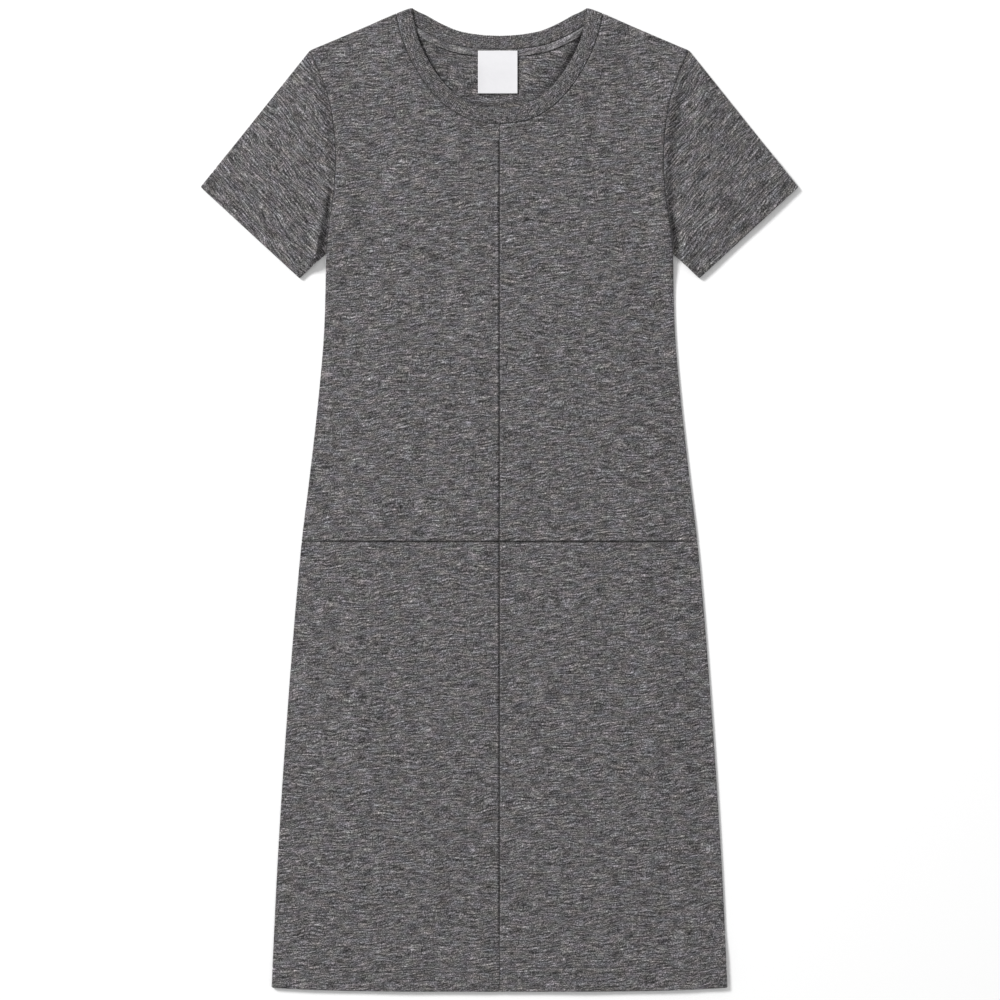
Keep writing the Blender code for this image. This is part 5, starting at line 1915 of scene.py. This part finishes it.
@dataclass
class NeckTape:
    """A narrow tape of the same jersey over the back neck seam, sewn down along its lower edge."""

    cut: Cut
    lie: BodyLie
    band: Neckband
    width: float = 7.2 * MM
    reach: float = 91.0 * MM
    roll_above: float = 0.75 * MM
    roll_below: float = 0.25 * MM
    stitch_in: float = 1.5 * MM
    stitch_press: float = 0.35 * MM
    stitch_width: float = 0.5 * MM
    stitch_sunk: float = 0.25 * MM
    lift: float = 1.0 * MM
    lift_from_x: Pair = (22.0 * MM, 36.0 * MM)
    lift_to_x: Pair = (46.0 * MM, 74.0 * MM)
    lift_from: float = 2.5 * MM
    steps: tuple[float, ...] = (
        0.0, 0.06, 0.16, 0.32, 0.55, 1.0, 1.8, 2.8, 3.8, 4.7,
        5.3, 5.5, 5.7, 5.9, 6.3, 6.7, 6.9, 7.05, 7.14, 7.2,
    )
    grain_shift: Pair = (0.43, 0.71)
    node: str = "neck_tape"
    sheet: Sheet = Sheet((0.205, 0.01), 0.00148, ("back_bodice_left_cloth", "back_bodice_right_cloth"))

    def lines(self, out: np.ndarray) -> np.ndarray:
        """Plan lines beside the back neck seam, at distances out from it, as (place, line, 2)."""
        shares = np.linspace(0.0, 1.0, 401)
        fine = along_curve(self.cut.neck_back, shares)
        reach = np.interp(self.reach, fine[:, 0], shares)
        outer, inner = self.band.edges(Face.BACK, np.linspace(0.0, reach, 60))
        away = (outer - inner) / np.linalg.norm(outer - inner, axis=-1, keepdims=True)
        half = outer[:, None] + away[:, None] * (2 * SEAM_GAP + out)[:, None]
        return np.concatenate([(half * np.array([-1.0, 1.0]))[:0:-1], half])

    def raised(self, x: np.ndarray, y: np.ndarray, out: np.ndarray) -> np.ndarray:
        """How far the tape is raised: with the back's swell, and along its lower edge beside the label."""
        beside = ease(np.abs(x), *self.lift_from_x) * (1.0 - ease(np.abs(x), *self.lift_to_x))
        lift = self.lift * beside * ease(out, self.lift_from, self.width)
        return self.lie.neck_rise(np.abs(x), y) + lift

    def skin(self, upper: bool) -> Skin:
        """One skin: level, with its two long edges rolled down and a pressed line where it is sewn."""
        out = np.array(self.steps) * MM
        plan = self.lines(out)
        edge = np.minimum(out, self.width - out)
        if upper:
            pressed = self.stitch_press * bell(out, self.width - self.stitch_in, self.stitch_width)
            z = TRIM_WALL - roll(edge, self.roll_above) - pressed
        else:
            z = roll(edge, self.roll_below)
        z = CLOTH + SEAM_GAP + z + self.raised(plan[..., 0], plan[..., 1], out)
        points = np.concatenate([plan, z[..., None]], axis=-1)
        step = np.linalg.norm(np.diff(plan[:, 0], axis=0), axis=-1)
        run = np.concatenate([[0.0], np.cumsum(step)])[:, None]
        u, v = np.array(self.grain_shift) + (0.0 if upper else GRAIN_SLIP)
        return Skin(points, np.stack(np.broadcast_arrays(run + u, v - out[None]), axis=-1))

    def build(self) -> bpy.types.Object:
        """The tape."""
        return make_wall("neck_tape_cloth", self.skin(True), self.skin(False))

    def stitches(self) -> list[np.ndarray]:
        """The beads of the row of stitches along its lower edge."""
        out = self.width - self.stitch_in
        line = self.lines(np.array([out]))[:, 0]
        z = CLOTH + SEAM_GAP + TRIM_WALL - self.stitch_sunk + self.raised(line[:, 0], line[:, 1], out)
        return [TAPE_ROW.beads(np.column_stack([line, z]))]


@dataclass
class Label:
    """A bare woven label, sewn on at its upper end. It lies over the tape and down on the back."""

    cut: Cut
    lie: BodyLie
    tape: NeckTape
    width: float = 40.2 * MM
    length: float = 43.7 * MM
    off_centre: float = -1.8 * MM
    top_y: float = 456.5 * MM
    slope: float = 30.0 * MM
    side_lift: float = 0.3 * MM
    side_lift_from: float = 12.0 * MM
    end_lift: float = 0.7 * MM
    end_lift_from: float = 14.0 * MM
    roll_above: float = 0.4 * MM
    roll_below: float = 0.3 * MM
    edge_steps: tuple[float, ...] = (0.0, 0.05, 0.13, 0.25, 0.4, 0.8, 1.6, 3.0)
    node: str = "label"
    sheet: Sheet = Sheet(
        (0.0402, 0.0437), None, ("neck_tape_cloth", "back_bodice_left_cloth", "back_bodice_right_cloth")
    )

    def skin(self, upper: bool) -> Skin:
        """One skin: it slopes from the tape to the back, its edges are rolled, and it lifts a little
        along its sides and at its free end."""
        steps = np.array(self.edge_steps)
        across = np.concatenate([steps, np.linspace(5.0, 35.2, 13), self.width / MM - steps[::-1]]) * MM
        down = np.concatenate([steps, np.linspace(4.5, 39.0, 20), self.length / MM - steps[::-1]]) * MM
        s, d = np.meshgrid(across, down, indexing="xy")
        on_tape = CLOTH + TRIM_WALL + 2 * SEAM_GAP
        tape_ends = self.tape.width + 3 * SEAM_GAP - (self.cut.neck_back[0][1] - self.top_y)
        low = blend(on_tape, CLOTH + SEAM_GAP, ease(d, tape_ends, tape_ends + self.slope))
        lift = self.side_lift * ease(d, self.side_lift_from, self.length) * (2.0 * s / self.width - 1.0) ** 2
        lift = lift + self.end_lift * ease(d, self.end_lift_from, self.length)
        edge = np.minimum(np.minimum(s, self.width - s), np.minimum(d, self.length - d))
        x, y = self.off_centre + s - self.width / 2, self.top_y - d
        z = low + lift + self.lie.neck_rise(np.abs(x), y)
        z = z + (TRIM_WALL - roll(edge, self.roll_above) if upper else roll(edge, self.roll_below))
        slip = 0.0 if upper else GRAIN_SLIP
        return Skin(np.stack([x, y, z], axis=-1), np.stack([s + slip, -d - slip], axis=-1))

    def build(self) -> bpy.types.Object:
        """The label."""
        return make_wall("label_satin_cloth", self.skin(True), self.skin(False))


# ---------------------------------------------------------------------------------------------------
# The studio


@dataclass(frozen=True)
class Studio:
    """A pale floor, soft light from above and to one side, and a camera straight above."""

    camera_place: tuple[float, float, float] = (0.5 * MM, -0.5 * MM, 2.828)
    lens: float = 100.0
    camera_sight: float = 20.0
    sensor: float = 36.0
    key_place: tuple[float, float, float] = (-4.1, 3.45, 4.15)
    key_size: float = 2.0
    key_power: float = 415.0
    fill: float = 0.57
    floor_half: float = 6.0
    floor_z: float = -0.25 * MM

    def floor(self) -> None:
        """A wide flat floor just under the dress."""
        edge, z = self.floor_half, self.floor_z
        mesh = bpy.data.meshes.new("floor")
        corners = [(-edge, -edge, z), (edge, -edge, z), (edge, edge, z), (-edge, edge, z)]
        mesh.from_pydata(corners, [], [(0, 1, 2, 3)])
        floor = bpy.data.objects.new("floor", mesh)
        bpy.context.scene.collection.objects.link(floor)
        Paper("paper").material().dress(floor)

    def light(self) -> None:
        """A large key light, aimed at the dress, and an even pale world."""
        lamp = bpy.data.lights.new("key", "AREA")
        lamp.shape = "DISK"
        lamp.size = self.key_size
        lamp.energy = self.key_power
        key = bpy.data.objects.new("key", lamp)
        key.location = self.key_place
        key.rotation_euler = Vector(self.key_place).to_track_quat("Z", "Y").to_euler()
        bpy.context.scene.collection.objects.link(key)
        world = bpy.data.worlds.new("studio")
        world.use_nodes = True
        background = world.node_tree.nodes["Background"]
        background.inputs["Color"].default_value = (1.0, 1.0, 1.0, 1.0)
        background.inputs["Strength"].default_value = self.fill
        bpy.context.scene.world = world

    def camera(self) -> None:
        """The camera, looking straight down."""
        optics = bpy.data.cameras.new("camera")
        optics.lens = self.lens
        optics.sensor_width = self.sensor
        optics.clip_end = self.camera_sight
        camera = bpy.data.objects.new("camera", optics)
        camera.location = self.camera_place
        bpy.context.scene.collection.objects.link(camera)
        bpy.context.scene.camera = camera
        bpy.context.scene.view_settings.view_transform = "Standard"

    def build(self) -> None:
        """Floor, lights and camera."""
        self.floor()
        self.light()
        self.camera()


# ---------------------------------------------------------------------------------------------------
# The dress


def crease(start: Pair, end: Pair, half_width: float, depth: float, bow: float) -> Crease:
    """A crease whose places and sizes are given in millimetres."""
    return Crease(*in_mm(start, end), half_width * MM, depth * MM, bow * MM)


BODY_CREASES = (
    crease((-176.0, 262.0), (-122.0, 300.0), 9.0, 0.5, 4.0),
    crease((176.0, 262.0), (118.0, 292.0), 9.0, 0.5, -4.0),
    crease((10.0, 305.0), (102.0, 264.0), 7.0, 0.35, 6.0),
    crease((-199.0, -48.0), (-146.0, -44.0), 4.0, 1.1, 1.0),
)
SLEEVE_CREASES = (
    crease((-194.6, 449.0), (-182.0, 413.0), 2.2, 2.5, 0.6),
    crease((-198.3, 442.0), (-189.0, 411.0), 2.4, 2.9, -0.8),
    crease((-187.4, 416.0), (-180.0, 391.0), 2.4, 0.7, 0.6),
    crease((-190.0, 400.0), (-177.0, 350.0), 3.6, 0.6, 2.0),
    crease((-196.0, 300.0), (-186.0, 262.0), 5.0, 0.7, -3.0),
    crease((195.0, 440.0), (182.0, 400.0), 3.8, 0.5, -1.0),
    crease((232.0, 300.0), (276.0, 338.0), 7.0, 0.5, 3.0),
)

# Each piece takes its grain from its own part of the cloth, up to this far away, by one seed
CLOTH_REACH = 3.0
CLOTH_SEED = 5

# Painted light: how much darker (wearer's left) and lighter (right) each sleeve's colour is than the body's
SLEEVE_PAINTED_LIGHT = (0.955, 1.03)


@dataclass
class Dress:
    """The whole dress: its cut, how it lies, and the finishes of its jersey and thread."""

    cut: Cut = Cut()
    body: BodyLie = BodyLie(Cut(), creases=BODY_CREASES)

    def __post_init__(self) -> None:
        """Makes the finishes that several pieces share, and starts the draw of grain shifts."""
        self.jersey = MarlKnit("marl_jersey_knit").material()
        # The wrong side's darker colour is partly the knit's reverse and partly painted shade inside the neck
        self.wrong_side = MarlKnit("marl_jersey_wrong_side", colour=(0.091, 0.087, 0.0895)).material()
        self.thread = Thread("sewing_thread").material()
        # Near-black seam thread, whose colour paints the shade in the seams' grooves
        self.seam_thread = Thread("seam_thread", colour=(0.026, 0.025, 0.026)).material()
        self.draw = np.random.default_rng(CLOTH_SEED)

    def grain_shift(self) -> Pair:
        """The next piece's own part of the cloth."""
        return tuple(self.draw.uniform(-CLOTH_REACH, CLOTH_REACH, 2))

    def panel(self, kind: type[BodyPanel], face: Face, side: Side) -> None:
        """One panel of the body, with its sewing."""
        panel = kind(self.cut, self.body, face, side, self.grain_shift())
        piece = panel.build()
        if kind is Skirt:
            sew(f"{panel.node}_stitches", panel.stitches(), self.thread)
        if kind is Bodice or side is Side.LEFT:
            # The seam thread is near black and paints the shade in the seams' grooves
            sew(f"{panel.node}_seam_thread", panel.seam_lines(), self.seam_thread)
        lay(piece, panel.node, Slot.JERSEY, (self.jersey, self.wrong_side), panel.sheet())

    def sleeve(self, side: Side) -> None:
        """One sleeve, whose knit has longer slubs and its own painted light: its colour is scaled for how the
        light falls on that side.
        """
        lie = SleeveLie(side, creases=SLEEVE_CREASES)
        sleeve = Sleeve(self.cut, self.body, lie, side, self.grain_shift())
        piece = sleeve.build()
        # Painted light: the sleeve's colour is scaled for how the light falls on its side
        shade = tuple(side.pick(SLEEVE_PAINTED_LIGHT) * part for part in MarlKnit.colour)
        knit = MarlKnit(f"marl_jersey_{side.word}_sleeve", colour=shade, slub=LONG_SLUB, ripple=1.5 * MM)
        finish = knit.material()
        sewing = (sew(f"{sleeve.node}_stitches", sleeve.stitches(), self.thread),)
        lay(piece, sleeve.node, Slot.JERSEY, (finish,), CUFF_SHEET)

    def neck(self) -> None:
        """The neckband, the tape over the back neck seam, and the label."""
        # The rib's furrows are painted darker, as their shade
        rib = MarlKnit(
            "marl_rib_knit",
            colour=(0.0915, 0.0874, 0.090),
            slub=Blots(7.0 * MM, 1.4 * MM, 1.3, 0.0),
            streak=Blots(3.6 * MM, 1.25 * MM, 1.4, 0.1),
            ripple=1.0 * MM,
            waver=(3.0 * MM, 1.5 * MM),
            rib_shade=0.24,
        ).material()
        band = Neckband(self.cut, self.body)
        lay(band.build(), band.node, Slot.RIB, (rib,), band.sheet)
        tape = NeckTape(self.cut, self.body, band)
        piece = tape.build()
        knit = MarlKnit("neck_tape_knit", colour=(0.127, 0.122, 0.125), contrast=0.8, ripple=0.6 * MM)
        finish = knit.material()
        thread = Thread("tape_thread", colour=(0.17, 0.165, 0.17)).material()
        sewing = (sew("neck_tape_stitches", tape.stitches(), thread),)
        lay(piece, tape.node, Slot.JERSEY, (finish,), tape.sheet)
        label = Label(self.cut, self.body, tape)
        piece = label.build()
        lay(piece, label.node, Slot.SATIN, (Satin("label_satin_weave").material(),), label.sheet)


def main() -> None:
    """Builds the studio, and the dress piece by piece."""
    dress = Dress()
    Studio().build()
    for face in (Face.BACK, Face.FRONT):
        for side in Side:
            for kind in (Bodice, Skirt):
                dress.panel(kind, face, side)
    for side in Side:
        dress.sleeve(side)
    dress.neck()


if __name__ == "__main__":
    main()
